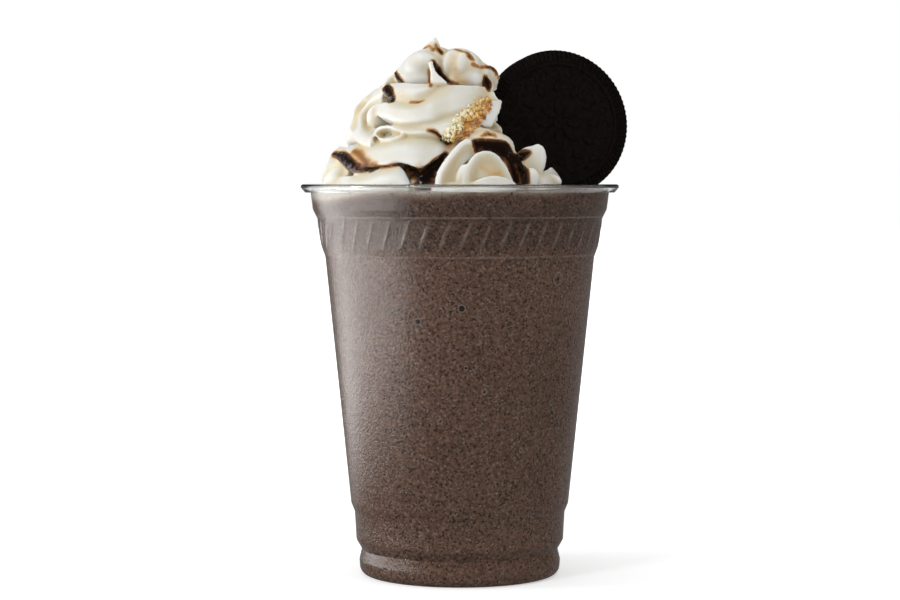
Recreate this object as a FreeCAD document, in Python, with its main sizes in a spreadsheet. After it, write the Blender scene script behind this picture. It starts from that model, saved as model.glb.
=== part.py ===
"""Cookies-and-cream milkshake in a clear cold-drink cup, with piped whipped cream and a sandwich cookie.

The model is a FreeCAD document.  Lengths are in millimetres and angles in degrees.  The cup stands on the
XY plane with its axis on Z, and its front faces -Y.  Six solids make the object:

    cup             thermoformed clear cup: recessed foot, base ring, stepped tapered wall, slanted flutes
                    round the grip band, and a turned-down lip that is hollow underneath
    milkshake       everything inside the cup up to the fill level, with a pocket where the cookie dips in
    whipped_cream   one piped swirl, a helical ruffle, cut away where the cookie stands in it
    cookie_front    embossed wafer that faces forwards
    cookie_filling  disc of filling between the wafers
    cookie_back     the same wafer turned round
"""

import FreeCAD
import Part

import math
import os
from types import SimpleNamespace

import Sketcher

# Every driving size of the object: alias in the spreadsheet, value, and what it is.
SIZES = [
    ("cup_height", 120.0, "foot to the top of the lip"),
    ("rim_radius", 45.7, "wall's outside where the lip turns out"),
    ("foot_radius", 30.6, "outer corner of the foot"),
    ("wall", 0.5, "thickness of the formed sheet"),
    ("foot_flat", 0.8, "width of the flat ring that the cup stands on"),
    ("foot_fillet", 2.8, "outer corner of the foot"),
    ("recess_height", 2.4, "rise of the middle of the base above the foot"),
    ("recess_run", 1.6, "slope from the flat ring in to the middle of the base"),
    ("recess_fillet", 0.8, "top of that slope"),
    ("ring_bulge", 0.4, "base ring, beyond the foot"),
    ("ring_height", 4.6, "height of the widest part of the base ring"),
    ("groove_depth", 0.8, "groove above the base ring"),
    ("groove_rise", 3.4, "from the base ring up to the groove"),
    ("stack_step", 0.9, "stacking band's lower end, beyond the base ring"),
    ("stack_rise", 2.9, "from the groove up to the stacking band"),
    ("stack_draft", 0.5, "widening of the stacking band"),
    ("stack_length", 8.6, "height of the stacking band"),
    ("body_step", 1.1, "step out from the stacking band to the long tapered wall"),
    ("body_rise", 2.7, "height of that step"),
    ("lip_drop", 2.5, "height of the turned-down skirt of the lip"),
    ("lip_reach", 3.85, "lip's outer corner before it is rounded, beyond the wall"),
    ("skirt_tuck", 2.1, "lower edge of the skirt, in from the lip's outer corner"),
    ("lip_lead", 0.8, "bevel from the inside of the wall into the top of the lip"),
    ("lip_fillet", 0.7, "outer corner of the lip"),
    ("band_length", 7.6, "top of the lip down to the lower end of the plain band"),
    ("band_draft", 0.6, "narrowing of the plain band"),
    ("shoulder_length", 2.9, "height of the shoulder between the plain band and the grip band"),
    ("shoulder_step", 1.45, "step in at that shoulder"),
    ("grip_length", 8.9, "height of the fluted grip band"),
    ("grip_draft", 1.35, "narrowing of the grip band"),
    ("step_length", 2.7, "height of the step under the grip band"),
    ("step_depth", 1.0, "step in under the grip band"),
    ("ring_fillet", 1.6, "bulge of the base ring"),
    ("stack_fillet", 1.8, "shoulder above the groove"),
    ("step_fillet", 1.0, "corners of the steps in the wall"),
    ("band_fillet", 2.2, "shoulder under the plain band"),
    ("flute_count", 45, "slanted flutes round the grip band"),
    ("flute_margin", 0.15, "plain wall above and below a flute"),
    ("flute_radius", 0.95, "radius of a flute's round section"),
    ("flute_rise", 0.45, "how far a flute stands out of the wall"),
    ("flute_slant", 21.0, "slant of a flute from upright, leaning to the viewer's right"),
    ("fill_drop", 3.4, "depth of the milkshake's surface below the top of the lip"),
    ("cookie_radius", 22.8, "wafers, to the tips of their ridges"),
    ("wafer_thickness", 2.5, "wafer without its relief"),
    ("filling_thickness", 2.9, "filling between the wafers"),
    ("filling_inset", 1.4, "filling's edge, in from the wafers' edge"),
    ("edge_bevel", 0.9, "drop of the ridged border towards the wafer's edge"),
    ("edge_fillet", 0.5, "inner edge of the wafer, beside the filling"),
    ("border_width", 3.3, "width of the ridged border"),
    ("ridge_count", 90, "ridges round a wafer"),
    ("ridge_radius", 0.55, "radius of the groove between two ridges"),
    ("ridge_depth", 0.4, "depth of the groove between two ridges"),
    ("relief", 0.45, "height of the embossed figures"),
    ("band_inset", 4.3, "embossed ring, in from the wafer's edge"),
    ("band_width", 0.9, "width of that ring"),
    ("bead_count", 24, "beads in the outer circle of the design"),
    ("bead_circle", 15.6, "radius of that circle"),
    ("bead_radius", 0.85, "radius of a bead at its foot"),
    ("lozenge_count", 12, "lozenges in the inner circle of the design"),
    ("lozenge_circle", 11.2, "radius of that circle"),
    ("lozenge_length", 4.2, "lozenge, along its radius"),
    ("lozenge_width", 2.2, "lozenge, across its radius"),
    ("petal_count", 8, "petals of the rosette in the middle"),
    ("petal_inner", 2.4, "radius where a petal starts"),
    ("petal_length", 4.8, "petal, along its radius"),
    ("petal_width", 2.4, "petal, across its radius"),
    ("button_radius", 1.5, "button in the middle of the rosette"),
    ("cookie_dip", 1.2, "cookie's lowest point, below the milkshake's surface"),
    ("cookie_back_set", 9.5, "middle of the cookie, behind the cup's axis"),
    ("cookie_turn", 15.8, "turn of the cookie's face to the right"),
    ("cookie_lean", 6.0, "lean of the cookie backwards"),
    ("rim_gap", 0.6, "clearance between the cookie's flank and the inside of the rim"),
    ("seat_gap", 0.1, "clearance round the cookie in the cream and the milkshake"),
    ("cream_height", 48.4, "milkshake's surface to the tip of the swirl"),
    ("cream_left_gap", 2.6, "inside of the rim to the swirl's lowest coil, on the left"),
    ("cream_right_gap", 11.8, "the same on the right"),
    ("cream_drift", 3.8, "how far the tip leans to the left of the lowest coil's middle"),
    ("cream_dome", 0.6, "power of the swirl's outline: under 1 is domed, 1 is a cone"),
    ("cream_turns", 4.3, "coils of the piped rope"),
    ("cream_start", 0.62, "share of a turn at which the first coil starts, from the right"),
    ("crease_depth", 6.4, "depth of the crease between two coils, at the bottom"),
    ("coil_roll", 0.32, "how far a coil rolls down over its crease, as a share of the coil's height"),
    ("lobe_count", 8, "folds that the star nozzle leaves in one turn"),
    ("lobe_depth", 3.4, "depth of those folds"),
    ("lobe_sweep", 0.9, "folds that one fold sweeps past as it climbs its coil"),
    ("tip_radius", 0.5, "blunt end of the tip"),
]

OVERRUN = 2.0  # how far a cutting shape runs past the face that it opens
ON_EDGE = 1e-4  # an edge this near to a named place is the edge meant
AROUND_POLES = 96  # control points round the swirl
UP_POLES = 72  # control points from the swirl's foot to its tip
SURFACE_DEGREE = 3  # of the swirl's surface
FOLD_SHARPNESS = 0.7  # under 1, creases and folds are sharper than the crests between them
START, CENTRE = 1, 3  # a sketch element's first end and its centre, as constraints name them
SKETCH_ORIGIN, VERTICAL_AXIS = -1, -2  # geometry numbers of a sketch's own origin and upright axis


class Size:
    """A size worked out from the sheet: its value now, and the expression that keeps features bound to it."""

    def __init__(self, value, text):
        self.value = value
        self.text = text

    def __add__(self, other):
        return Size(self.value + plain(other), f"({self.text} + {words(other)})")

    def __sub__(self, other):
        return Size(self.value - plain(other), f"({self.text} - {words(other)})")

    def __mul__(self, other):
        return Size(self.value * plain(other), f"({self.text} * {words(other)})")

    def __truediv__(self, other):
        return Size(self.value / plain(other), f"({self.text} / {words(other)})")

    def __neg__(self):
        return Size(-self.value, f"(0 - {self.text})")


def plain(size):
    return size.value if isinstance(size, Size) else size


def words(size):
    return size.text if isinstance(size, Size) else repr(size)


def root(size):
    return Size(math.sqrt(size.value), f"sqrt({size.text})")


def cosine(angle):
    return Size(math.cos(math.radians(angle.value)), f"cos({angle.text} * 1 deg)")


def sine(angle):
    return Size(math.sin(math.radians(angle.value)), f"sin({angle.text} * 1 deg)")


def slope(run, rise):
    """The angle, in degrees, of a line that goes this far out while it goes this far up."""
    return Size(math.degrees(math.atan2(run.value, rise.value)), f"(atan({run.text} / {rise.text}) / 1 deg)")


doc = FreeCAD.newDocument("milkshake")
sheet = doc.addObject("Spreadsheet::Sheet", "sizes")
for row, (alias, value, meaning) in enumerate(SIZES, start=1):
    sheet.set(f"A{row}", alias)
    sheet.set(f"B{row}", str(value))
    sheet.set(f"C{row}", meaning)
    sheet.setAlias(f"B{row}", alias)
doc.recompute()
s = SimpleNamespace(**{alias: Size(float(sheet.get(alias)), f"sizes.{alias}") for alias, _, _ in SIZES})

ZERO = Size(0.0, "0")

# Places that several pieces share.
fill_height = s.cup_height - s.fill_drop
inner_rim_radius = s.rim_radius - s.wall
lip_radius = s.rim_radius + s.lip_reach
ring_radius = s.foot_radius + s.ring_bulge
stack_low_radius = ring_radius + s.stack_step
stack_high_radius = stack_low_radius + s.stack_draft
groove_height = s.ring_height + s.groove_rise
stack_low_height = groove_height + s.stack_rise
stack_high_height = stack_low_height + s.stack_length
band_low_radius = s.rim_radius - s.band_draft
grip_high_radius = band_low_radius - s.shoulder_step
grip_low_radius = grip_high_radius - s.grip_draft
band_low_height = s.cup_height - s.band_length
grip_high_height = band_low_height - s.shoulder_length
grip_low_height = grip_high_height - s.grip_length
foot_inner_radius = s.foot_radius - s.foot_fillet - s.foot_flat
cookie_half = s.filling_thickness / 2 + s.wafer_thickness + s.relief


def origin_part(body, role):
    """One of the body's own planes or axes."""
    return next(feature for feature in body.Origin.OriginFeatures if feature.Role == role)


def add_body(name):
    return doc.addObject("PartDesign::Body", name)


def add_sketch(body, name, plane, offset=None):
    """A sketch on one of the body's origin planes, moved by a placement expression if one is given."""
    sketch = body.newObject("Sketcher::SketchObject", name)
    sketch.AttachmentSupport = (origin_part(body, plane), "")
    sketch.MapMode = "FlatFace"
    if offset:
        sketch.setExpression("AttachmentOffset", offset)
    return sketch


def bind(sketch, constraint, size):
    """Adds a constraint with a measure and keeps the measure bound to the sheet."""
    index = sketch.addConstraint(constraint)
    sketch.setExpression(f"Constraints[{index}]", size.text)


def pin(sketch, element, end, across, up):
    """Holds one end or the centre of a sketch element at a place; 0 stands for one of the sketch's axes."""
    for kind, axis, size in (("DistanceX", VERTICAL_AXIS, across), ("DistanceY", SKETCH_ORIGIN, up)):
        if isinstance(size, Size):
            bind(sketch, Sketcher.Constraint(kind, SKETCH_ORIGIN, START, element, end, size.value), size)
        else:
            sketch.addConstraint(Sketcher.Constraint("PointOnObject", element, end, axis))


def point(across, up):
    return FreeCAD.Vector(plain(across), plain(up), 0)


def draw_outline(sketch, corners):
    """A closed outline of straight lines through corners that are (across, up) sizes."""
    lines = []
    for here, there in zip(corners, corners[1:] + corners[:1]):
        lines.append(sketch.addGeometry(Part.LineSegment(point(*here), point(*there)), False))
    for line, following in zip(lines, lines[1:] + lines[:1]):
        sketch.addConstraint(Sketcher.Constraint("Coincident", line, 2, following, START))
    for line, corner in zip(lines, corners):
        pin(sketch, line, START, *corner)


def draw_circle(sketch, across, up, radius):
    circle = sketch.addGeometry(Part.Circle(point(across, up), FreeCAD.Vector(0, 0, 1), radius.value), False)
    pin(sketch, circle, CENTRE, across, up)
    bind(sketch, Sketcher.Constraint("Radius", circle, radius.value), radius)


def draw_arc(sketch, centre, radius, first_degree, last_degree):
    """An arc that turns anticlockwise between two directions, held at its centre and radius."""
    circle = Part.Circle(point(*centre), FreeCAD.Vector(0, 0, 1), radius.value)
    arc = Part.ArcOfCircle(circle, math.radians(first_degree), math.radians(last_degree))
    element = sketch.addGeometry(arc, False)
    pin(sketch, element, CENTRE, *centre)
    bind(sketch, Sketcher.Constraint("Radius", element, radius.value), radius)
    return element


def join(sketch, first, first_end, second, second_end):
    sketch.addConstraint(Sketcher.Constraint("Coincident", first, first_end, second, second_end))


def draw_line(sketch, start, end):
    return sketch.addGeometry(Part.LineSegment(point(*start), point(*end)), False)


def turn_profile(body, name, sketch, kind="Revolution"):
    """A full turn of the sketch about its own upright axis, added to the body or cut from it."""
    feature = body.newObject(f"PartDesign::{kind}", name)
    feature.Profile = sketch
    feature.ReferenceAxis = (sketch, ["V_Axis"])
    feature.Angle = 360
    return feature


def pad_profile(body, name, sketch, height):
    feature = body.newObject("PartDesign::Pad", name)
    feature.Profile = sketch
    feature.setExpression("Length", height.text)
    return feature


def repeat_round(body, name, feature, count):
    """Copies of a feature, evenly round the body's axis."""
    pattern = body.newObject("PartDesign::PolarPattern", name)
    pattern.Originals = [feature]
    pattern.Axis = (origin_part(body, "Z_Axis"), [""])
    pattern.Angle = 360
    pattern.setExpression("Occurrences", count.text)
    body.Tip = pattern
    return pattern


def round_edges(body, name, places, radius):
    """A fillet on the circular edges that lie round the body's axis at the given (radius, height) places."""
    doc.recompute()
    rounded = body.Tip
    names = []
    for number, edge in enumerate(rounded.Shape.Edges, start=1):
        if not isinstance(edge.Curve, Part.Circle):
            continue
        radial, height = edge.Curve.Radius, edge.Curve.Center.z
        if any(math.dist((radial, height), (place[0].value, place[1].value)) < ON_EDGE for place in places):
            names.append(f"Edge{number}")
    if len(names) < len(places):
        raise RuntimeError(f"{name}: {len(names)} edges found for {len(places)} places")
    fillet = body.newObject("PartDesign::Fillet", name)
    fillet.Base = (rounded, names)
    fillet.setExpression("Radius", radius.text)
    body.Tip = fillet


def check_cut(body, before, name):
    """A cutting feature that points away from the solid fails silently, so its volume is compared."""
    doc.recompute()
    if body.Shape.Volume >= before:
        raise RuntimeError(f"{name} cut nothing")


# ---------------------------------------------------------------- cup


def wall_corners(skin):
    """Corners of the cup's wall from the middle of the base to the plain band, this far inside its face."""
    return [
        (0, s.recess_height + skin),
        (foot_inner_radius - s.recess_run + skin, s.recess_height + skin),
        (foot_inner_radius + skin, ZERO + skin),
        (s.foot_radius - skin, ZERO + skin),
        (ring_radius - skin, s.ring_height),
        (ring_radius - s.groove_depth - skin, groove_height),
        (stack_low_radius - skin, stack_low_height),
        (stack_high_radius - skin, stack_high_height),
        (stack_high_radius + s.body_step - skin, stack_high_height + s.body_rise),
        (grip_low_radius - s.step_depth - skin, grip_low_height - s.step_length),
        (grip_low_radius - skin, grip_low_height),
        (grip_high_radius - skin, grip_high_height),
        (band_low_radius - skin, band_low_height),
    ]


def outer_lip_corners():
    """The lip from the wall's outside, up through the hollow under it, over the skirt and back to the axis."""
    skirt_bottom = s.cup_height - s.lip_drop
    hollow_top = s.cup_height - s.wall
    return [
        (s.rim_radius, skirt_bottom),
        (s.rim_radius, hollow_top),
        (lip_radius - s.wall, hollow_top),
        (lip_radius - s.skirt_tuck - s.wall, skirt_bottom),
        (lip_radius - s.skirt_tuck, skirt_bottom),
        (lip_radius, s.cup_height),
        (0, s.cup_height),
    ]


def inner_lip_corners():
    """The mouth: the inside of the wall, bevelled out into the lip and carried on past its top."""
    return [
        (inner_rim_radius, s.cup_height - s.lip_lead),
        (inner_rim_radius + s.lip_lead, s.cup_height),
        (inner_rim_radius + s.lip_lead, s.cup_height + OVERRUN),
        (0, s.cup_height + OVERRUN),
    ]


def add_flutes(body, skin):
    """Round-ended slanted flutes on the grip band, as far inside the wall's face as the skin."""
    tilt = slope(s.grip_draft, s.grip_length)
    middle_radius = (grip_low_radius + grip_high_radius) / 2 - (s.flute_radius - s.flute_rise)
    middle_height = (grip_low_height + grip_high_height) / 2
    offset = (
        f"placement(vector(0; {middle_height.text}; {middle_radius.text}); "
        f"rotation(vector(1; 0; 0); {tilt.text}) * rotation(vector(0; 0; 1); 0 - {s.flute_slant.text}))"
    )
    radius = s.flute_radius - skin
    reach = (s.grip_length / 2 - s.flute_margin) / cosine(tilt) / cosine(s.flute_slant) - s.flute_radius
    sketch = add_sketch(body, f"{body.Name}_flute_profile", "YZ_Plane", offset)
    axis = draw_line(sketch, (0, -reach - radius), (0, reach + radius))
    upper = draw_arc(sketch, (0, reach), radius, 0, 90)
    side = draw_line(sketch, (radius, -reach), (radius, reach))
    lower = draw_arc(sketch, (0, -reach), radius, 270, 360)
    join(sketch, axis, 2, upper, 2)
    join(sketch, axis, START, lower, START)
    sketch.addConstraint(Sketcher.Constraint("Tangent", upper, START, side, 2))
    sketch.addConstraint(Sketcher.Constraint("Tangent", side, START, lower, 2))
    sketch.addConstraint(Sketcher.Constraint("PointOnObject", axis, START, VERTICAL_AXIS))
    sketch.addConstraint(Sketcher.Constraint("PointOnObject", axis, 2, VERTICAL_AXIS))
    flute = turn_profile(body, f"{body.Name}_flute", sketch)
    repeat_round(body, f"{body.Name}_flutes", flute, s.flute_count)


def cup_form(name, skin, lip_corners, lip_rounds):
    """The cup as a closed solid, this far inside its outer face: once for its outside, once for its inside."""
    body = add_body(name)
    corners = wall_corners(skin)
    sketch = add_sketch(body, f"{name}_profile", "XZ_Plane")
    draw_outline(sketch, corners + lip_corners)
    body.Tip = turn_profile(body, f"{name}_turn", sketch)
    _, recess, _, foot, ring, _, stack_low, stack_high, body_low, body_high, grip_low, _, band_low = corners
    rounds = [
        ("recess", [recess], s.recess_fillet),
        ("foot", [foot], s.foot_fillet - skin),
        ("ring", [ring], s.ring_fillet),
        ("stack", [stack_low], s.stack_fillet),
        ("steps", [stack_high, body_low, body_high, grip_low], s.step_fillet),
        ("band", [band_low], s.band_fillet),
    ]
    for part_name, places, radius in rounds + lip_rounds:
        round_edges(body, f"{name}_{part_name}_round", places, radius)
    add_flutes(body, skin)
    return body


def make_cup():
    """The cup's outside with its inside taken out; the inside is returned too, for what fills it."""
    hollow_round = [("hollow", [(lip_radius - s.wall, s.cup_height - s.wall)], s.lip_fillet - s.wall)]
    lip_round = [("lip", [(lip_radius, s.cup_height)], s.lip_fillet)]
    outside = cup_form("cup_outside", ZERO, outer_lip_corners(), lip_round + hollow_round)
    inside = cup_form("cup_inside", s.wall, inner_lip_corners(), [])
    cup = doc.addObject("Part::Cut", "cup")
    cup.Base = outside
    cup.Tool = inside
    return cup, inside


# ---------------------------------------------------------------- cookie


def cookie_place(turned_round):
    """Placement of a piece that is modelled with the cookie's middle at the origin and its face up."""
    drop = cosine(s.cookie_lean) * s.cookie_radius + sine(s.cookie_lean) * cookie_half
    height = fill_height - s.cookie_dip + drop
    above_rim = height - s.cup_height
    half_chord = root(s.cookie_radius * s.cookie_radius - above_rim * above_rim)
    flank_y = s.cookie_back_set + sine(s.cookie_turn) * half_chord + cosine(s.cookie_turn) * cookie_half
    reach = inner_rim_radius - s.rim_gap
    flank_x = root(reach * reach - flank_y * flank_y)
    across = flank_x - cosine(s.cookie_turn) * half_chord + sine(s.cookie_turn) * cookie_half
    rotation = (
        f"rotation(vector(0; 0; 1); {s.cookie_turn.text}) * "
        f"rotation(vector(1; 0; 0); 90 - {s.cookie_lean.text})"
    )
    if turned_round:
        rotation += " * rotation(vector(1; 0; 0); 180)"
    return f"placement(vector({across.text}; {s.cookie_back_set.text}; {height.text}); {rotation})"


def cut_ridges(body, top):
    """Round grooves that run down the border of the wafer and leave ridges between them."""
    tilt = slope(s.edge_bevel, s.border_width)
    depth_centre = s.ridge_radius - s.ridge_depth
    inner_end = s.cookie_radius - s.border_width
    offset = (
        f"placement(vector({inner_end.text}; {(top + depth_centre).text}; 0); "
        f"rotation(vector(0; 0; 1); 0 - 90 - {tilt.text}))"
    )
    sketch = add_sketch(body, f"{body.Name}_ridge_profile", "XZ_Plane", offset)
    length = s.border_width + OVERRUN
    draw_outline(sketch, [(0, -s.ridge_radius), (s.ridge_radius, ZERO), (s.ridge_radius, length), (0, length)])
    before = body.Shape.Volume
    groove = turn_profile(body, f"{body.Name}_ridge_groove", sketch, "Groove")
    repeat_round(body, f"{body.Name}_ridges", groove, s.ridge_count)
    check_cut(body, before, f"{body.Name} ridges")


def emboss(body, top):
    """A plain ring, a circle of beads, a circle of lozenges and a rosette, raised on the wafer's face."""
    face = f"placement(vector(0; 0; {top.text}); rotation(vector(0; 0; 1); 0))"

    ring_sketch = add_sketch(body, f"{body.Name}_ring_outline", "XY_Plane", face)
    draw_circle(ring_sketch, 0, 0, s.cookie_radius - s.band_inset + s.band_width / 2)
    draw_circle(ring_sketch, 0, 0, s.cookie_radius - s.band_inset - s.band_width / 2)
    body.Tip = pad_profile(body, f"{body.Name}_ring", ring_sketch, s.relief)

    bead_sphere = (s.bead_radius * s.bead_radius + s.relief * s.relief) / (s.relief * 2)
    bead_centre = top + s.relief - bead_sphere
    bead_offset = f"placement(vector({s.bead_circle.text}; {bead_centre.text}; 0); rotation(vector(0; 0; 1); 0))"
    bead_sketch = add_sketch(body, f"{body.Name}_bead_profile", "XZ_Plane", bead_offset)
    arc = draw_arc(bead_sketch, (0, 0), bead_sphere, -90, 90)
    line = draw_line(bead_sketch, (0, -bead_sphere), (0, bead_sphere))
    join(bead_sketch, line, START, arc, START)
    join(bead_sketch, line, 2, arc, 2)
    bead_sketch.addConstraint(Sketcher.Constraint("PointOnObject", line, START, VERTICAL_AXIS))
    bead_sketch.addConstraint(Sketcher.Constraint("PointOnObject", line, 2, VERTICAL_AXIS))
    bead = turn_profile(body, f"{body.Name}_bead", bead_sketch)
    repeat_round(body, f"{body.Name}_beads", bead, s.bead_count)

    lozenge_sketch = add_sketch(body, f"{body.Name}_lozenge_outline", "XY_Plane", face)
    half_length = s.lozenge_length / 2
    half_width = s.lozenge_width / 2
    lozenge_corners = [
        (s.lozenge_circle - half_length, 0),
        (s.lozenge_circle, -half_width),
        (s.lozenge_circle + half_length, 0),
        (s.lozenge_circle, half_width),
    ]
    draw_outline(lozenge_sketch, lozenge_corners)
    lozenge = pad_profile(body, f"{body.Name}_lozenge", lozenge_sketch, s.relief)
    repeat_round(body, f"{body.Name}_lozenges", lozenge, s.lozenge_count)

    petal_sketch = add_sketch(body, f"{body.Name}_petal_outline", "XY_Plane", face)
    half = s.petal_length / 2
    bow = (half * half + s.petal_width * s.petal_width / 4) / s.petal_width
    centre_off = bow - s.petal_width / 2
    middle = s.petal_inner + half
    swing = math.degrees(math.atan2(half.value, centre_off.value))
    upper = draw_arc(petal_sketch, (middle, -centre_off), bow, 90 - swing, 90 + swing)
    lower = draw_arc(petal_sketch, (middle, centre_off), bow, 270 - swing, 270 + swing)
    join(petal_sketch, upper, START, lower, 2)
    join(petal_sketch, upper, 2, lower, START)
    petal = pad_profile(body, f"{body.Name}_petal", petal_sketch, s.relief)
    repeat_round(body, f"{body.Name}_petals", petal, s.petal_count)

    button_sketch = add_sketch(body, f"{body.Name}_button_outline", "XY_Plane", face)
    draw_circle(button_sketch, 0, 0, s.button_radius)
    body.Tip = pad_profile(body, f"{body.Name}_button", button_sketch, s.relief)


def make_wafer(name, turned_round):
    """One embossed wafer: its plain side lies on the filling, its design faces away from it."""
    body = add_body(name)
    bottom = s.filling_thickness / 2
    top = bottom + s.wafer_thickness
    sketch = add_sketch(body, f"{name}_profile", "XZ_Plane")
    corners = [
        (0, bottom),
        (s.cookie_radius, bottom),
        (s.cookie_radius, top - s.edge_bevel),
        (s.cookie_radius - s.border_width, top),
        (0, top),
    ]
    draw_outline(sketch, corners)
    body.Tip = turn_profile(body, f"{name}_disc", sketch)
    round_edges(body, f"{name}_edge_round", [corners[1]], s.edge_fillet)
    doc.recompute()
    cut_ridges(body, top)
    emboss(body, top)
    body.setExpression("Placement", cookie_place(turned_round))
    return body


def make_filling():
    """A disc whose edge bulges out between the wafers."""
    body = add_body("cookie_filling")
    half = s.filling_thickness / 2
    straight = s.cookie_radius - s.filling_inset - half
    sketch = add_sketch(body, "filling_profile", "XZ_Plane")
    bottom = draw_line(sketch, (0, -half), (straight, -half))
    edge = draw_arc(sketch, (straight, 0), half, -90, 90)
    top = draw_line(sketch, (straight, half), (0, half))
    axis = draw_line(sketch, (0, half), (0, -half))
    join(sketch, top, 2, axis, START)
    join(sketch, axis, 2, bottom, START)
    for line, line_end, arc_end in ((bottom, 2, START), (top, START, 2)):
        sketch.addConstraint(Sketcher.Constraint("Tangent", line, line_end, edge, arc_end))
        sketch.addConstraint(Sketcher.Constraint("Horizontal", line))
    sketch.addConstraint(Sketcher.Constraint("PointOnObject", axis, START, VERTICAL_AXIS))
    sketch.addConstraint(Sketcher.Constraint("PointOnObject", axis, 2, VERTICAL_AXIS))
    body.Tip = turn_profile(body, "filling_disc", sketch)
    body.setExpression("Placement", cookie_place(False))
    return body


def make_cookie_space():
    """The room that the cookie takes in the cream and the milkshake, with its clearance all round."""
    space = doc.addObject("Part::Cylinder", "cookie_space")
    half = cookie_half + s.seat_gap
    space.setExpression("Radius", (s.cookie_radius + s.seat_gap).text)
    space.setExpression("Height", (half * 2).text)
    place = cookie_place(False)
    space.setExpression("Placement", f"{place} * placement(vector(0; 0; {(-half).text}); rotation(vector(0; 0; 1); 0))")
    return space


# ---------------------------------------------------------------- milkshake and cream


def make_milkshake(inside, cookie_space):
    """The inside of the cup up to the fill level, less the room for the cookie."""
    level = doc.addObject("Part::Cylinder", "fill_level")
    level.setExpression("Radius", lip_radius.text)
    level.setExpression("Height", fill_height.text)
    contents = doc.addObject("Part::Common", "cup_contents")
    contents.Base = inside
    contents.Tool = level
    milkshake = doc.addObject("Part::Cut", "milkshake")
    milkshake.Base = contents
    milkshake.Tool = cookie_space
    return milkshake


def cream_point(around, climb):
    """A point on the swirl, from its turn round the axis and its share of the climb from foot to tip."""
    radius = inner_rim_radius.value - (s.cream_left_gap.value + s.cream_right_gap.value) / 2
    foot_x = (s.cream_left_gap.value - s.cream_right_gap.value) / 2
    outline = radius * (1 - climb) ** s.cream_dome.value
    share = outline / radius
    coil = s.cream_turns.value * climb + s.cream_start.value - around
    bulge = abs(math.sin(math.pi * coil)) ** FOLD_SHARPNESS
    crease = s.crease_depth.value * share ** 0.5 * (1 - bulge)
    fold_phase = math.pi * (s.lobe_count.value * around + s.lobe_sweep.value * coil)
    fold = s.lobe_depth.value * share * bulge * (1 - abs(math.cos(fold_phase)) ** FOLD_SHARPNESS)
    r = max(outline - crease - fold, s.tip_radius.value)
    coil_height = s.cream_height.value / s.cream_turns.value
    ends = min(1.0, 12 * climb, 12 * (1 - climb))
    roll = s.coil_roll.value * coil_height * (bulge - 0.5) * ends * share
    turn = 2 * math.pi * around
    x = foot_x - s.cream_drift.value * climb + r * math.cos(turn)
    y = r * math.sin(turn)
    z = fill_height.value + s.cream_height.value * climb - roll
    return FreeCAD.Vector(x, y, z)


def make_cream(cookie_space):
    """The piped swirl as one periodic surface closed by flat ends, less the room for the cookie."""
    poles = []
    for column in range(AROUND_POLES):
        poles.append([cream_point(column / AROUND_POLES, row / (UP_POLES - 1)) for row in range(UP_POLES)])
    around_knots = list(range(AROUND_POLES + 1))
    spans = UP_POLES - SURFACE_DEGREE
    up_knots = list(range(spans + 1))
    up_counts = [SURFACE_DEGREE + 1] + [1] * (spans - 1) + [SURFACE_DEGREE + 1]
    surface = Part.BSplineSurface()
    surface.buildFromPolesMultsKnots(
        poles, [1] * (AROUND_POLES + 1), up_counts, around_knots, up_knots,
        True, False, SURFACE_DEGREE, SURFACE_DEGREE,
    )
    side = surface.toShape()
    rings = [edge for edge in side.Edges if edge.isClosed() and edge.BoundBox.ZLength < ON_EDGE]
    ends = [Part.Face(Part.Wire([ring])).reversed() for ring in rings]
    if len(ends) != 2:
        raise RuntimeError(f"the swirl has {len(ends)} flat ends")
    swirl = doc.addObject("Part::Feature", "cream_swirl")
    swirl.Shape = Part.Solid(Part.Shell([side] + ends))
    cream = doc.addObject("Part::Cut", "whipped_cream")
    cream.Base = swirl
    cream.Tool = cookie_space
    return cream


cup, cup_inside = make_cup()
space = make_cookie_space()
pieces = [
    cup,
    make_milkshake(cup_inside, space),
    make_cream(space),
    make_wafer("cookie_front", False),
    make_filling(),
    make_wafer("cookie_back", True),
]
doc.recompute()

for item in doc.Objects:
    if {"Invalid", "Error"} & set(item.State):
        raise RuntimeError(f"{item.Label} did not compute: {item.State}")
for piece in pieces:
    shape = piece.Shape
    if shape.isNull() or not shape.isValid() or len(shape.Solids) != 1:
        raise RuntimeError(f"{piece.Label} is not one valid solid")

os.makedirs("parts", exist_ok=True)
for piece in pieces:
    piece.Shape.exportStep(f"parts/{piece.Label}.step")
    box = piece.Shape.BoundBox
    print(f"{piece.Label}: {piece.Shape.Volume / 1000:.1f} cm3, z {box.ZMin:.1f} to {box.ZMax:.1f}")
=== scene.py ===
# %% [markdown]
# # A cookies-and-cream milkshake in a clear cup
#
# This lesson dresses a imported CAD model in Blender.  The CAD model brings a clear cold-drink cup, the drink
# in it, a piped swirl of cream and a sandwich cookie.  Here each of them gets the surface, the small shapes
# and the light of the real thing.  The cream is laid again, fold by fold, because a piped swirl lives from
# thin curling lips that a CAD solid only hints at.

import math

import bmesh
import bpy
import numpy as np
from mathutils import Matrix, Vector
from mathutils.bvhtree import BVHTree
from mathutils.kdtree import KDTree


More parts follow.
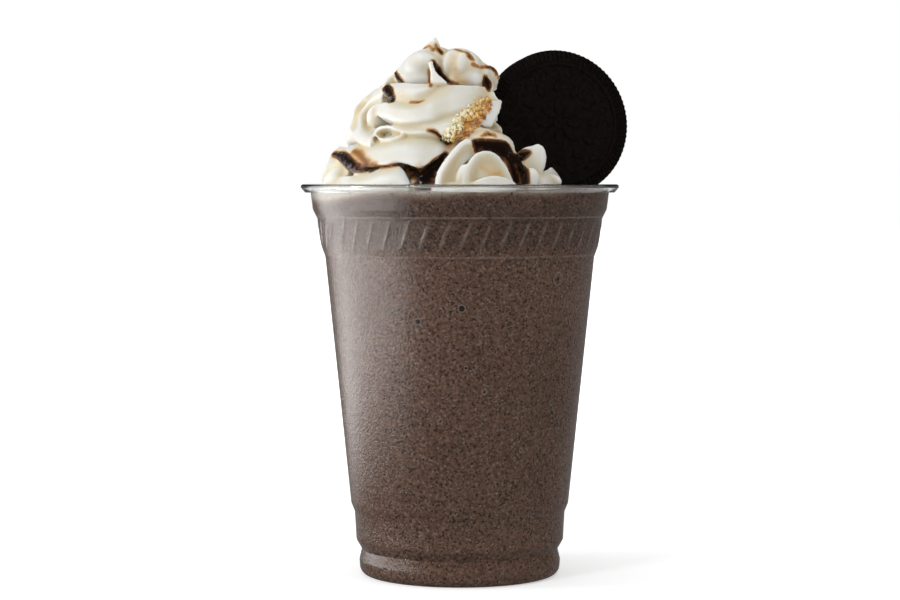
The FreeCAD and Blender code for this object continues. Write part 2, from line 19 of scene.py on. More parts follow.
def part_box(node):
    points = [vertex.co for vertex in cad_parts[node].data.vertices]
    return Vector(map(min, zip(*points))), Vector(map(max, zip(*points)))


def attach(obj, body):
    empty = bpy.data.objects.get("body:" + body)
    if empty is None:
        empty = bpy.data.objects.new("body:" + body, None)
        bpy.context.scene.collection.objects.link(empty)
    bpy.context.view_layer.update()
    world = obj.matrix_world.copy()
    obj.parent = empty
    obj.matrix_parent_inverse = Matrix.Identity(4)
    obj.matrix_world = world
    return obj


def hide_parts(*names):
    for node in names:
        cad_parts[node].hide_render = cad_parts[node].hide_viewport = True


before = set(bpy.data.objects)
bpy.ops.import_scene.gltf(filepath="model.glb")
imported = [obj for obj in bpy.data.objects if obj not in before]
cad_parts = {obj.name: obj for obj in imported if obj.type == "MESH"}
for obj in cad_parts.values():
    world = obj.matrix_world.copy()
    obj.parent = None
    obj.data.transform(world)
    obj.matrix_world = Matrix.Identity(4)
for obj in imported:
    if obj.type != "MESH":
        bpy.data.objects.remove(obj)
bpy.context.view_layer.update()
print("nodes:", sorted(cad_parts))

# %% [markdown]
# Everything that follows is placed from the model itself.  The rim of the cup is the height that matters
# most: the camera looks level across it, and all of the cream stands above it.

# %% Sizes that the model gives
MM = 0.001
_, cup_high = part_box("cup")
_, shake_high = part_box("milkshake")
cream_low, cream_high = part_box("whipped_cream")
RIM = cup_high.z / MM
LEVEL = shake_high.z / MM
TIP = cream_high.z / MM
print(f"rim at {RIM:.1f} mm, drink at {LEVEL:.1f} mm, tip at {TIP:.1f} mm")

# %% [markdown]
# ## Camera
# A long lens from a little under a metre keeps the cup's sides nearly straight and shows its rim edge-on.
# The camera stands level with the rim and looks down by a couple of degrees, which puts the whole drink in
# the lower part of the frame without any lens shift.

# %% Camera
CAMERA_DISTANCE = 0.750
CAMERA_OFFSET = -0.003
LENS = 97.6
LOOK_DOWN = math.radians(2.715)

camera_data = bpy.data.cameras.new("camera")
camera_data.lens = LENS
camera = bpy.data.objects.new("camera", camera_data)
camera.location = (CAMERA_OFFSET, -CAMERA_DISTANCE, cup_high.z)
camera.rotation_euler = (math.pi / 2 - LOOK_DOWN, 0, 0)
bpy.context.scene.collection.objects.link(camera)
bpy.context.scene.camera = camera
bpy.context.scene.view_settings.view_transform = "Standard"
print("camera", tuple(round(v, 3) for v in camera.location))


# %% [markdown]
# ## Helpers
# Every piece uses these.  The first ones make a mesh object from points and faces, and read or move its
# points.  The class after them gives a material with a small vocabulary for wiring nodes, because the same
# few kinds of node come back in every finish.  Places are in millimetres here, and Blender's are in metres.

# %% Mesh helpers
def make_object(name, points, faces, smooth=True):
    """A mesh object from points in millimetres."""
    mesh = bpy.data.meshes.new(name)
    mesh.from_pydata([tuple(p) for p in np.asarray(points, float) * MM], [], [tuple(f) for f in faces])
    mesh.validate()
    mesh.update()
    if smooth:
        mesh.shade_smooth()
    made = bpy.data.objects.new(name, mesh)
    bpy.context.scene.collection.objects.link(made)
    return made


def apply_modifiers(piece):
    """Turns the evaluated piece into its own plain mesh, and drops the modifiers."""
    bpy.context.view_layer.update()
    evaluated = piece.evaluated_get(bpy.context.evaluated_depsgraph_get())
    mesh = bpy.data.meshes.new_from_object(evaluated)
    piece.modifiers.clear()
    piece.data = mesh
    mesh.name = piece.name
    return piece


def points_of(piece):
    """The piece's vertices in millimetres."""
    flat = np.empty(len(piece.data.vertices) * 3)
    piece.data.vertices.foreach_get("co", flat)
    return flat.reshape(-1, 3) / MM


def move_points(piece, points):
    piece.data.vertices.foreach_set("co", (np.asarray(points) * MM).ravel())
    piece.data.update()


def set_values(piece, name, values):
    """Stores one number for each vertex as an attribute of the mesh."""
    layer = piece.data.attributes.get(name) or piece.data.attributes.new(name, "FLOAT", "POINT")
    layer.data.foreach_set("value", np.asarray(values, dtype=np.float32))


# %% Material helper
class Finish:
    """A material with short ways to add and wire shader nodes."""

    def __init__(self, name, **settings):
        self.material = bpy.data.materials.new(name)
        self.material.use_nodes = True
        self.nodes = self.material.node_tree.nodes
        self.links = self.material.node_tree.links
        self.shader = self.nodes["Principled BSDF"]
        for socket, value in settings.items():
            self.shader.inputs[socket.replace("_", " ")].default_value = value
        self.place = self.add("ShaderNodeTexCoord").outputs["Object"]

    def add(self, kind, **settings):
        node = self.nodes.new(kind)
        for key, value in settings.items():
            setattr(node, key, value)
        return node

    def link(self, source, target):
        self.links.new(source, target)

    def noise(self, scale, detail=4.0, roughness=0.5, where=None):
        node = self.add("ShaderNodeTexNoise")
        node.inputs["Scale"].default_value = scale
        node.inputs["Detail"].default_value = detail
        node.inputs["Roughness"].default_value = roughness
        self.link(where or self.place, node.inputs["Vector"])
        return node.outputs["Fac"]

    def cells(self, scale, randomness=1.0, where=None, feature="F1"):
        node = self.add("ShaderNodeTexVoronoi", feature=feature)
        node.inputs["Scale"].default_value = scale
        node.inputs["Randomness"].default_value = randomness
        self.link(where or self.place, node.inputs["Vector"])
        return node

    def ramp(self, value, stops, interpolation="LINEAR"):
        """A colour ramp; stops are (place, colour or grey)."""
        node = self.add("ShaderNodeValToRGB")
        node.color_ramp.interpolation = interpolation
        elements = node.color_ramp.elements
        while len(elements) < len(stops):
            elements.new(0.5)
        for element, (place, colour) in zip(elements, stops):
            element.position = place
            grey = isinstance(colour, (int, float))
            element.color = (colour, colour, colour, 1) if grey else (*colour, 1)
        self.link(value, node.inputs["Fac"])
        return node.outputs["Color"]

    def mix(self, share, low, high, blend="MIX"):
        """Mixes two colours; each of the three may be a number, a colour or a socket."""
        node = self.add("ShaderNodeMix", data_type="RGBA", blend_type=blend, clamp_factor=True)
        for value, socket in ((share, 0), (low, 6), (high, 7)):
            if isinstance(value, bpy.types.NodeSocket):
                self.link(value, node.inputs[socket])
            elif isinstance(value, tuple):
                node.inputs[socket].default_value = (*value, 1)
            else:
                node.inputs[socket].default_value = value
        return node.outputs[2]

    def math(self, operation, first, second=0.0):
        node = self.add("ShaderNodeMath", operation=operation)
        for value, socket in ((first, 0), (second, 1)):
            if isinstance(value, bpy.types.NodeSocket):
                self.link(value, node.inputs[socket])
            else:
                node.inputs[socket].default_value = value
        return node.outputs[0]

    def attribute(self, name):
        return self.add("ShaderNodeAttribute", attribute_name=name).outputs["Fac"]

    def along(self, axis):
        """How far along X, Y or Z a point of the piece lies, in metres."""
        node = self.add("ShaderNodeSeparateXYZ")
        self.link(self.place, node.inputs["Vector"])
        return node.outputs[axis]

    def between(self, value, low, high, to_low=0.0, to_high=1.0, curve="LINEAR"):
        """A value carried over from one range to another, and held at the ends of the new one."""
        node = self.add("ShaderNodeMapRange", interpolation_type=curve)
        for socket, number in (("From Min", low), ("From Max", high), ("To Min", to_low), ("To Max", to_high)):
            node.inputs[socket].default_value = number
        self.link(value, node.inputs["Value"])
        return node.outputs["Result"]

    def bump(self, height, distance, strength=1.0, after=None):
        node = self.add("ShaderNodeBump")
        node.inputs["Distance"].default_value = distance
        node.inputs["Strength"].default_value = strength
        self.link(height, node.inputs["Height"])
        if after is not None:
            self.link(after, node.inputs["Normal"])
        return node.outputs["Normal"]

    def let_lamps_through(self):
        """Lamps shine through the surface, so that what is behind the clear wall is lit cleanly."""
        through = self.add("ShaderNodeBsdfTransparent")
        path = self.add("ShaderNodeLightPath")
        either = self.add("ShaderNodeMixShader")
        self.link(path.outputs["Is Shadow Ray"], either.inputs["Fac"])
        self.link(self.shader.outputs["BSDF"], either.inputs[1])
        self.link(through.outputs["BSDF"], either.inputs[2])
        self.link(either.outputs["Shader"], self.nodes["Material Output"].inputs["Surface"])

    def colour(self, socket):
        self.link(socket, self.shader.inputs["Base Color"])

    def normal(self, socket):
        self.link(socket, self.shader.inputs["Normal"])


def dress(piece, finish):
    """Gives a piece one finish all over."""
    piece.data.materials.clear()
    piece.data.materials.append(finish.material)
    return piece


# %% [markdown]
# ## Cup
# The real cup is formed from a clear sheet that was sucked into a mould.  Its gloss comes from the outer face,
# and the drink touches the inside.  The CAD mesh is a set of loose triangles, and clear plastic shows every
# uneven one of them.  So the wall is turned again: the CAD cup is cut through, half of the cut is walked from
# the axis out along the underside and back over the top, and that outline goes round the axis in even steps.

# %% Outline of the cup
def half_outline(node, degrees):
    """Half of a CAD node's section: from the axis out along its underside, over its top and back."""
    out = Vector((math.cos(math.radians(degrees)), math.sin(math.radians(degrees)), 0))
    shape = bmesh.new()
    shape.from_mesh(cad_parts[node].data)
    bmesh.ops.remove_doubles(shape, verts=shape.verts, dist=0.002 * MM)
    whole = [*shape.verts, *shape.edges, *shape.faces]
    cut = bmesh.ops.bisect_plane(shape, geom=whole, plane_co=(0, 0, 0), plane_no=(-out.y, out.x, 0))["geom_cut"]
    links = {}
    for edge in cut:
        if isinstance(edge, bmesh.types.BMEdge):
            for one, other in (edge.verts, reversed(edge.verts)):
                links.setdefault(one, []).append(other)
    inside = [vertex for vertex in links if vertex.co.dot(out) > 0
              and any(near.co.dot(out) <= 0 for near in links[vertex])]
    spot = min(inside, key=lambda vertex: vertex.co.z)
    before, walk = next(near for near in links[spot] if near.co.dot(out) <= 0), []
    while spot.co.dot(out) > 0:
        walk.append((spot.co.dot(out) / MM, spot.co.z / MM))
        before, spot = spot, next(near for near in links[spot] if near is not before)
    shape.free()
    return np.array([(0, walk[0][1]), *walk, (0, walk[-1][1])])


def thin_out(line, slack):
    """The line without the points that lie closer than the slack to a straight line between the others."""
    way = (line[-1] - line[0]) / np.linalg.norm(line[-1] - line[0])
    off = np.abs((line - line[0]) @ np.array([-way[1], way[0]]))
    worst = int(np.argmax(off))
    if off[worst] < slack:
        return line[[0, -1]]
    return np.vstack([thin_out(line[:worst + 1], slack)[:-1], thin_out(line[worst:], slack)])


# %% The outline, with even rings in the grip band
FLUTES_LOW, FLUTES_HIGH = 100.75, 109.35
GRIP_RINGS = 18
CUT_DEGREES = 4.0
OUTLINE_SLACK = 0.015

outline = half_outline("cup", CUT_DEGREES)
outline = outline[(outline[:, 1] < FLUTES_LOW) | (outline[:, 1] > FLUTES_HIGH)]
outline = thin_out(outline, OUTLINE_SLACK)
places = [outline[0]]
for before, after in zip(outline[:-1], outline[1:]):
    if min(before[1], after[1]) < FLUTES_LOW + 0.1 and max(before[1], after[1]) > FLUTES_HIGH - 0.1:
        places.extend(before + (after - before) * share for share in np.linspace(0, 1, GRIP_RINGS + 1)[1:-1])
    places.append(after)
outline = np.array(places)
mouth = int(np.argmax(outline[:, 1]))
print("outline of the cup:", len(outline), "points, mouth at", outline[mouth].round(2))

# %% Turning an outline round the axis
FLUTES = 45
FLUTE_SLANT = math.radians(21)
FLUTE_RISE, FLUTE_HALF = 0.22, 0.85  # how far a flute stands out, and half its width
GRIP_RADIUS = 42.7
# shares of the way from one flute to the next, close together where the wall rises to a flute
COLUMNS = (0, 0.05, 0.10, 0.15, 0.28, 0.5, 0.72, 0.85, 0.90, 0.95)


def turn_round(name, outline, crease_degrees=28):
    """A closed body of revolution.  In the grip band its columns lean, and some stand out as flutes.

    The attribute "rib" says how much of a flute each point is, from 0 to 1.
    """
    columns = (np.arange(FLUTES)[:, None] + np.array(COLUMNS)).ravel() * 2 * math.pi / FLUTES
    near = np.minimum(COLUMNS, 1 - np.array(COLUMNS)) * 2 * math.pi / FLUTES * GRIP_RADIUS
    bell = np.tile(np.where(near < FLUTE_HALF, (1 + np.cos(math.pi * near / FLUTE_HALF)) / 2, 0), FLUTES)
    count = len(columns)
    points, faces, ribs = [], [], []
    for radius, height in outline[1:-1]:
        share = np.clip((height - FLUTES_LOW) / (FLUTES_HIGH - FLUTES_LOW), 0, 1)
        turn = columns + math.tan(FLUTE_SLANT) * (share - 0.5) * (FLUTES_HIGH - FLUTES_LOW) / GRIP_RADIUS
        rib = bell * math.sin(math.pi * share) ** 0.5
        out = radius + FLUTE_RISE * rib
        ribs.extend(rib)
        points.extend(np.stack([out * np.cos(turn), out * np.sin(turn), np.full(count, height)], axis=1))
    rings = len(outline) - 2
    for ring in range(rings - 1):
        for column in range(count):
            after = (column + 1) % count
            low, high = ring * count, (ring + 1) * count
            faces.append([low + column, low + after, high + after, high + column])
    for place, ring in ((outline[0], 0), (outline[-1], rings - 1)):
        points.append(np.array([0, 0, place[1]]))
        for column in range(count):
            pair = [ring * count + column, ring * count + (column + 1) % count]
            faces.append([len(points) - 1] + (pair[::-1] if ring == 0 else pair))
    piece = make_object(name, points, faces)
    shape = bmesh.new()
    shape.from_mesh(piece.data)
    bmesh.ops.recalc_face_normals(shape, faces=shape.faces)
    for face in shape.faces:
        face.smooth = True
    for edge in shape.edges:
        edge.smooth = edge.calc_face_angle(0) < math.radians(crease_degrees)
    shape.to_mesh(piece.data)
    shape.free()
    set_values(piece, "rib", ribs + [0.0, 0.0])
    return piece


# %% Clear finish: a slow unevenness all over, and fine beads where the drink is cold behind the wall
BEADS_END, BEADS_FULL = LEVEL - 1, LEVEL - 8

clear_finish = Finish("clear_cup", Transmission_Weight=1.0, Roughness=0.03, IOR=1.46)
clear_finish.shader.inputs["Base Color"].default_value = (0.98, 0.985, 0.985, 1)
cold = clear_finish.between(clear_finish.along("Z"), BEADS_END * MM, BEADS_FULL * MM, curve="SMOOTHSTEP")
beads = clear_finish.math("MULTIPLY", clear_finish.noise(1300, 3), cold)
slow = clear_finish.bump(clear_finish.noise(70, 2), 0.00008, 0.35)
clear_finish.normal(clear_finish.bump(beads, 0.00017, 0.9, after=slow))
clear_finish.let_lamps_through()

# %% Clear cup
cup = turn_round("clear_cup", outline)
dress(cup, clear_finish)
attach(cup, "root")
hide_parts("cup")
print("cup", len(cup.data.polygons), "faces")

# %% [markdown]
# ## Milkshake
# The drink is thick and grey-brown, and it is full of ground cookie.  Most of the grains are finer than half
# a millimetre, so they are a pattern in the material: a fine mottle for the blend, and cells of which a few
# are black wafer and a few are pale ice and cream.  The larger grains, flecks and bubbles are real shapes,
# added below.  The drink's side is the inside of the cup's own outline, turned in the same way, so the two
# can't drift apart.  It goes a fifth of a millimetre into the wall, because any air between the two would
# shine like a mirror.

# %% Milkshake body
INTO_WALL = 0.2
SURFACE = LEVEL + 1.0  # froth stands a little higher than the drink
AWAY_FROM_AXIS = 20


def drink_outline(depth):
    """The inside of the cup up to the drink's surface, moved this far into the wall."""
    wall = outline[mouth:][::-1].copy()
    wall[wall[:, 0] > AWAY_FROM_AXIS, 0] += depth
    wall[wall[:, 1] < LEVEL / 2, 1] -= depth / 2
    below = wall[wall[:, 1] < SURFACE]
    after = wall[len(below)]
    share = (SURFACE - below[-1, 1]) / (after[1] - below[-1, 1])
    edge = below[-1] + (after - below[-1]) * share
    return np.vstack([below, edge, edge * (0.5, 1), (0, SURFACE)])


shake = turn_round("shake", drink_outline(INTO_WALL))
print("shake", len(shake.data.polygons), "faces")

# %% Milkshake finish: the blend and its grains
shake_finish = Finish("shake", Roughness=0.42, Specular_IOR_Level=0.10)
tone = shake_finish.ramp(shake_finish.noise(26, 4),
                         [(0.3, (0.118, 0.0640, 0.0425)), (0.7, (0.150, 0.0850, 0.0580))])
grains = shake_finish.cells(2000)
apart = shake_finish.add("ShaderNodeSeparateColor")
shake_finish.link(grains.outputs["Color"], apart.inputs["Color"])
dark_bits = shake_finish.ramp(apart.outputs["Red"],
                              [(0.0, 0.22), (0.09, 0.34), (0.12, 0.84), (0.55, 1.0), (1.0, 1.16)])
mottle = shake_finish.noise(1150, 3)
broad = shake_finish.ramp(mottle, [(0.34, 0.62), (0.5, 0.97), (0.66, 1.42)])
tone = shake_finish.mix(1.0, shake_finish.mix(1.0, tone, dark_bits, "MULTIPLY"), broad, "MULTIPLY")
pale_bits = shake_finish.ramp(apart.outputs["Green"],
                              [(0.0, (0.125, 0.092, 0.074)), (1.0, (0.29, 0.235, 0.20))])
tone = shake_finish.mix(shake_finish.ramp(apart.outputs["Red"], [(0.90, 0.0), (0.92, 0.6)]), tone, pale_bits)

# %% Milkshake finish: froth, which is pale where cream has run into the top of the drink
FROTH_LOW, FROTH_HIGH = SURFACE - 2.7, SURFACE + 0.4
FROTH_WAVE, FROTH_TILT = 0.006, -0.034

height = shake_finish.along("Z")
wavy = shake_finish.math("MULTIPLY", shake_finish.math("SUBTRACT", shake_finish.noise(34, 3), 0.5), FROTH_WAVE)
tilted = shake_finish.math("MULTIPLY", shake_finish.along("X"), FROTH_TILT)
frothy_height = shake_finish.math("ADD", shake_finish.math("ADD", height, wavy), tilted)
froth = shake_finish.between(frothy_height, FROTH_LOW * MM, FROTH_HIGH * MM)
pale = shake_finish.ramp(froth, [(0.0, (0.085, 0.055, 0.043)), (0.35, (0.16, 0.095, 0.064)),
                                 (0.7, (0.26, 0.205, 0.16)), (1.0, (0.40, 0.365, 0.31))])
froth_grains = shake_finish.ramp(apart.outputs["Blue"], [(0.0, 0.55), (0.2, 0.9), (1.0, 1.15)])
pale = shake_finish.mix(1.0, pale, froth_grains, "MULTIPLY")

# %% Milkshake finish: painted shade and painted highlights in the grip band
# The drink is painted darker from the band up, as painted shade.  Paler lines on the flutes and on the band's
# two shoulders are painted highlights, where these ridges catch the light.
SHADE_FROM, SHADE_TO, SHADE_LEVEL = LEVEL - 19, LEVEL - 13, 0.66
GRIP_LOW, GRIP_HIGH = 97, 112
FLUTE_HIGHLIGHT = 0.42

# painted shade: the drink is darker from the band up
band_shade = shake_finish.between(height, SHADE_FROM * MM, SHADE_TO * MM, 1.0, SHADE_LEVEL, "SMOOTHSTEP")
tone = shake_finish.mix(1.0, tone, band_shade, "MULTIPLY")
grip = shake_finish.between(height, GRIP_LOW * MM, GRIP_HIGH * MM)
# painted highlights: paler lines on the band's two shoulders and on the flutes
shoulder_highlights = shake_finish.ramp(grip, [(0.080, 0.0), (0.110, 0.42), (0.140, 0.0), (0.855, 0.0), (0.882, 0.5),
                                     (0.909, 0.0)])
flute_highlights = shake_finish.math("MULTIPLY", shake_finish.attribute("rib"), FLUTE_HIGHLIGHT)
broken = shake_finish.ramp(shake_finish.noise(260, 3), [(0.36, 0.45), (0.56, 1.0)])
painted_highlights = shake_finish.math("MULTIPLY", shake_finish.math("MAXIMUM", shoulder_highlights, flute_highlights), broken)
# the pale colour of the painted highlights
tone = shake_finish.mix(painted_highlights, tone, (0.30, 0.25, 0.215))
tone = shake_finish.mix(froth, tone, pale)
shake_finish.colour(tone)
shake_finish.normal(shake_finish.bump(mottle, 0.0008, 1.0))
dress(shake, shake_finish)
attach(shake, "root")
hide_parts("milkshake")

# %% [markdown]
# ## Cookie
# The wafers are baked from dark cocoa dough: nearly black, dull and dry, with a grain too fine to model.
# Their shapes come from the CAD model as they are, and only get a finish.  A noise varies the colour, and
# the same noise gives the bump; the pits are also the darker spots, as painted shade over the dough's tone.

# %% Cookie finish
wafer_finish = Finish("cocoa_wafer", Roughness=0.6, Specular_IOR_Level=0.14)
grain = wafer_finish.noise(900, 6, 0.65)
# the dough's uneven tone, darker in the pits of the bump as painted shade
wafer_finish.colour(wafer_finish.ramp(grain, [(0.35, (0.0028, 0.0016, 0.0011)),
                                              (0.7, (0.0085, 0.0052, 0.0038))]))
wafer_finish.normal(wafer_finish.bump(grain, 0.00016, 0.6))
filling_finish = Finish("filling", Roughness=0.5)
filling_finish.colour(filling_finish.ramp(filling_finish.noise(300),
                                          [(0.3, (0.72, 0.67, 0.56)), (0.7, (0.8, 0.76, 0.66))]))
for node in ("cookie_front", "cookie_back"):
    dress(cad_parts[node], wafer_finish)
dress(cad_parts["cookie_filling"], filling_finish)

# %% [markdown]
# ## Whipped cream
# A star nozzle lays the cream as a rope whose ridges open into thin, wavy lips.  Each visible fold is made
# here as a sheet that is thick at its root and thin at its lip.  The sheets stand round a plain core, and a
# voxel remesh melts them into one body, as the soft cream does by itself.
#
# Places are in millimetres in the model's own frame.  The swirl's outline is a dome: its radius at a height
# tells how far back a fold lies, so a fold at the front needs only its place across, its height and how far
# it stands out of the dome.

# %% The dome that the folds stand on
DOME_POWER = 0.6
dome_radius = (min(cream_high.x - cream_low.x, cream_high.y - cream_low.y) / MM) / 2 + 1.0
dome_foot_x = (cream_high.x + cream_low.x) / 2 / MM
DOME_DRIFT = 3.8


def dome(height):
    """The dome's middle and radius at a height."""
    climb = np.clip((np.asarray(height, float) - LEVEL) / (TIP - LEVEL), 0, 1)
    return dome_foot_x - DOME_DRIFT * climb, dome_radius * (1 - climb) ** DOME_POWER


def front(across, height, out=0.0):
    """A place on the front of the dome, moved forwards by out."""
    middle, radius = dome(height)
    side = min(abs(across - middle), float(radius))
    return np.array([across, -math.sqrt(max(float(radius) ** 2 - side ** 2, 0.0)) - out, height])


def around(degrees, height, out=0.0):
    """A place on the dome in a direction: 0 is the right, 90 the back, 180 the left."""
    middle, radius = dome(height)
    turn = math.radians(degrees)
    return np.array([middle + (radius + out) * math.cos(turn), (radius + out) * math.sin(turn), height])


print(f"dome radius {dome_radius:.1f} mm about x {dome_foot_x:.1f}")


# %% Smooth lines
def smooth_line(points, count):
    """A Catmull-Rom line through the points, evenly divided by its length."""
    knots = np.asarray(points, float)
    steps = np.linalg.norm(np.diff(knots, axis=0), axis=1)
    places = np.concatenate([[0], np.cumsum(np.maximum(steps, 1e-6))])
    if len(knots) > 2:
        slopes = np.gradient(knots, places, axis=0)
    else:
        slopes = np.repeat(np.diff(knots, axis=0) / places[-1], 2, 0)
    wanted = np.linspace(0, places[-1], count)
    span = np.clip(np.searchsorted(places, wanted, side="right") - 1, 0, len(knots) - 2)
    width = (places[span + 1] - places[span])[:, None]
    t = (wanted - places[span])[:, None] / width
    return (
        (2 * t ** 3 - 3 * t ** 2 + 1) * knots[span]
        + (t ** 3 - 2 * t ** 2 + t) * width * slopes[span]
        + (3 * t ** 2 - 2 * t ** 3) * knots[span + 1]
        + (t ** 3 - t ** 2) * width * slopes[span + 1]
    )


# %% Closed shells
cream_points, cream_faces = [], []


def add_closed_grid(outer, inner):
    """Two grids of the same size, joined round their edges into one closed shell."""
    rows, columns = outer.shape[:2]
    start = len(cream_points)
    cream_points.extend(outer.reshape(-1, 3))
    cream_points.extend(inner.reshape(-1, 3))
    back = rows * columns

    def at(row, column, side=0):
        return start + side * back + row * columns + column

    for row in range(rows - 1):
        for column in range(columns - 1):
            corners = [(row, column), (row, column + 1), (row + 1, column + 1), (row + 1, column)]
            cream_faces.append([at(*c) for c in corners])
            cream_faces.append([at(*c, 1) for c in reversed(corners)])
    border = [(0, c) for c in range(columns)] + [(r, columns - 1) for r in range(1, rows)]
    border += [(rows - 1, c) for c in reversed(range(columns - 1))]
    border += [(r, 0) for r in reversed(range(1, rows - 1))]
    for here, there in zip(border, border[1:] + border[:1]):
        cream_faces.append([at(*there), at(*here), at(*here, 1), at(*there, 1)])


# %% Sheets
def add_sheet(rails, lip=1.3, root=3.2, count=60, across=16):
    """A fold of cream: a sheet through rails that run along it, from its free lip to its root."""
    along = np.array([smooth_line(rail, count) for rail in rails])
    grid = np.array([smooth_line(along[:, i], across) for i in range(count)])
    run = np.gradient(grid, axis=0)
    fall = np.gradient(grid, axis=1)
    normal = np.cross(run, fall)
    normal /= np.maximum(np.linalg.norm(normal, axis=2, keepdims=True), 1e-9)
    middle, _ = dome(grid[..., 2])
    outwards = np.stack([grid[..., 0] - middle, grid[..., 1], np.zeros_like(middle)], axis=-1)
    if (normal * outwards).sum() < 0:
        normal = -normal
    share = np.linspace(0, 1, across)[None, :, None]
    add_closed_grid(grid, grid - normal * (lip + (root - lip) * np.sin(share * math.pi / 2)))


# %% The core, between the swirl's left and right edges
# heights, and how far across the edge lies at each of them
RIGHT_EDGE = ([117, 121, 124, 127, 131, 134, 136, 138, 142, 147, 150, 154, 158],
              [31, 29.5, 24, 17.5, 15.5, 14.0, 10.5, 9.5, 11.5, 11.5, 10.5, 9, 6])
LEFT_EDGE = ([117, 124, 129, 132, 135, 139, 143, 146, 150, 153, 157, 160],
             [-43, -42, -39, -36.5, -34, -33.2, -32.4, -29.5, -24, -20.5, -17.5, -14])


def right_edge(height):
    """How far right the cream in front of the cookie reaches at a height."""
    return np.interp(height, *RIGHT_EDGE)


def add_core(inset=5.0, rows=60, columns=96):
    """The plain middle of the swirl, under all of its folds."""
    heights = np.linspace(LEVEL - 1.5, TIP - 5, rows)
    middle, radius = dome(heights)
    radius = np.maximum(radius - inset, 0.3)
    turn = np.linspace(0, 2 * math.pi, columns, endpoint=False)
    start = len(cream_points)
    for m, r, height in zip(middle, radius, heights):
        across = np.minimum(m + r * np.cos(turn), right_edge(height) - 2.5)
        cream_points.extend(np.stack([across, r * np.sin(turn), np.full(columns, height)], axis=1))
    for row in range(rows - 1):
        for column in range(columns):
            after = (column + 1) % columns
            low, high = start + row * columns, start + (row + 1) * columns
            cream_faces.append([low + column, low + after, high + after, high + column])
    cream_faces.append([start + c for c in reversed(range(columns))])
    cream_faces.append([start + (rows - 1) * columns + c for c in range(columns)])


# %% Lumps
def add_lump(place, radii, tilt=0.0, detail=3, ridges=0, ripple=0.0):
    """A lobe of cream; ridges is how many soft ridges run up its sides."""
    ball = bmesh.new()
    bmesh.ops.create_icosphere(ball, subdivisions=detail, radius=1)
    start = len(cream_points)
    cos_tilt, sin_tilt = math.cos(math.radians(tilt)), math.sin(math.radians(tilt))
    for vertex in ball.verts:
        ridge = 1 + ripple * math.cos(ridges * math.atan2(vertex.co.y, vertex.co.x) + 1.3 * vertex.co.z)
        x, y, z = np.array(vertex.co) * radii * (ridge, ridge, 1)
        cream_points.append(np.array([x * cos_tilt - z * sin_tilt, y, x * sin_tilt + z * cos_tilt]) + place)
    cream_faces.extend([[start + v.index for v in face.verts] for face in ball.faces])
    ball.free()


# %% [markdown]
# ### Folds at the front
# Each fold is given by rails: lines that run along it, the first on its free lip and the last at its root.
# A place on a rail is how far across it lies, its height, and how far it stands out of the dome.

# %% Rails, and the core
def rail(*places):
    return [front(*place) for place in places]


def tell(fold):
    print(f"{fold}: {len(cream_faces)} faces so far")


add_core()
tell("core")

# %% Lowest collar and far left lobe
# collar: its lip waves just above the rim
add_sheet([
    rail((-42, 120.6, -2), (-39, 122.0, 1), (-33.5, 122.6, 3), (-29, 123.0, 3), (-26, 123.8, 3),
         (-23, 125.2, 2.5), (-20.5, 125.9, 2.5), (-18, 125.6, 3), (-16.3, 124.0, 3), (-14.6, 120.5, 3)),
    rail((-42, 119, -1), (-39, 119.6, 1), (-33.5, 119.8, 3.5), (-29, 120, 4), (-26, 120.3, 4.5),
         (-23, 120.8, 5), (-20.5, 121, 5), (-18, 121, 4.5), (-16.5, 120, 4), (-15, 118.5, 3)),
    rail((-40, 116, -2), (-37, 116, 0), (-32, 116, 1), (-28, 116, 1), (-25, 116, 1), (-22, 116, 1),
         (-20, 116, 1), (-18, 116, 1), (-16.5, 116, 1), (-15, 116, 1)),
])

# white lobe at the far left, behind the sauced tip
add_sheet([
    rail((-39.5, 128.5, -1), (-41, 126.5, 0), (-42, 123.8, 0), (-43, 121.4, 0)),
    rail((-36.5, 127.5, 1.5), (-38, 125.0, 1.5), (-39.5, 122.5, 2), (-40.5, 119.5, 1.5)),
    rail((-33, 125.5, 1), (-34, 123, 1.5), (-35.5, 120.5, 1), (-36, 118, 1)),
], lip=1.5, root=3)

tell("collar and lobe")

# %% Broad band, and the curl over it
# band with a pointed left end and a wavy lower lip
add_sheet([
    rail((-38.6, 128.6, 1.5), (-36, 126.2, 3), (-32, 123.6, 4), (-28.5, 124.0, 4.5), (-25.5, 125.6, 4.5),
         (-22, 125.9, 5), (-19, 126.7, 5), (-15.5, 126.1, 5), (-12, 125.2, 5), (-9, 126.4, 4), (-6, 128.6, 3),
         (-4, 130.0, 1)),
    rail((-38.2, 129.4, 1), (-35.5, 128.8, 3.5), (-32, 128.2, 4.5), (-28.5, 128.8, 4.5), (-25.5, 129.6, 4.5),
         (-22, 130, 4.8), (-19, 130.2, 5), (-15.5, 130.2, 5), (-12, 129.8, 4.5), (-9, 129.8, 3.5),
         (-6, 130.4, 2.5), (-4, 131, 0)),
    rail((-37.8, 130.0, -1), (-35, 131.2, 0), (-32, 132.2, 0), (-28.5, 133, 0), (-25.5, 133.8, 0),
         (-22, 134.4, 0.5), (-19, 134.8, 1), (-15.5, 134.9, 1), (-12, 134.8, 1), (-9, 134.2, 1), (-6, 133, 0),
         (-4, 132, -2)),
])

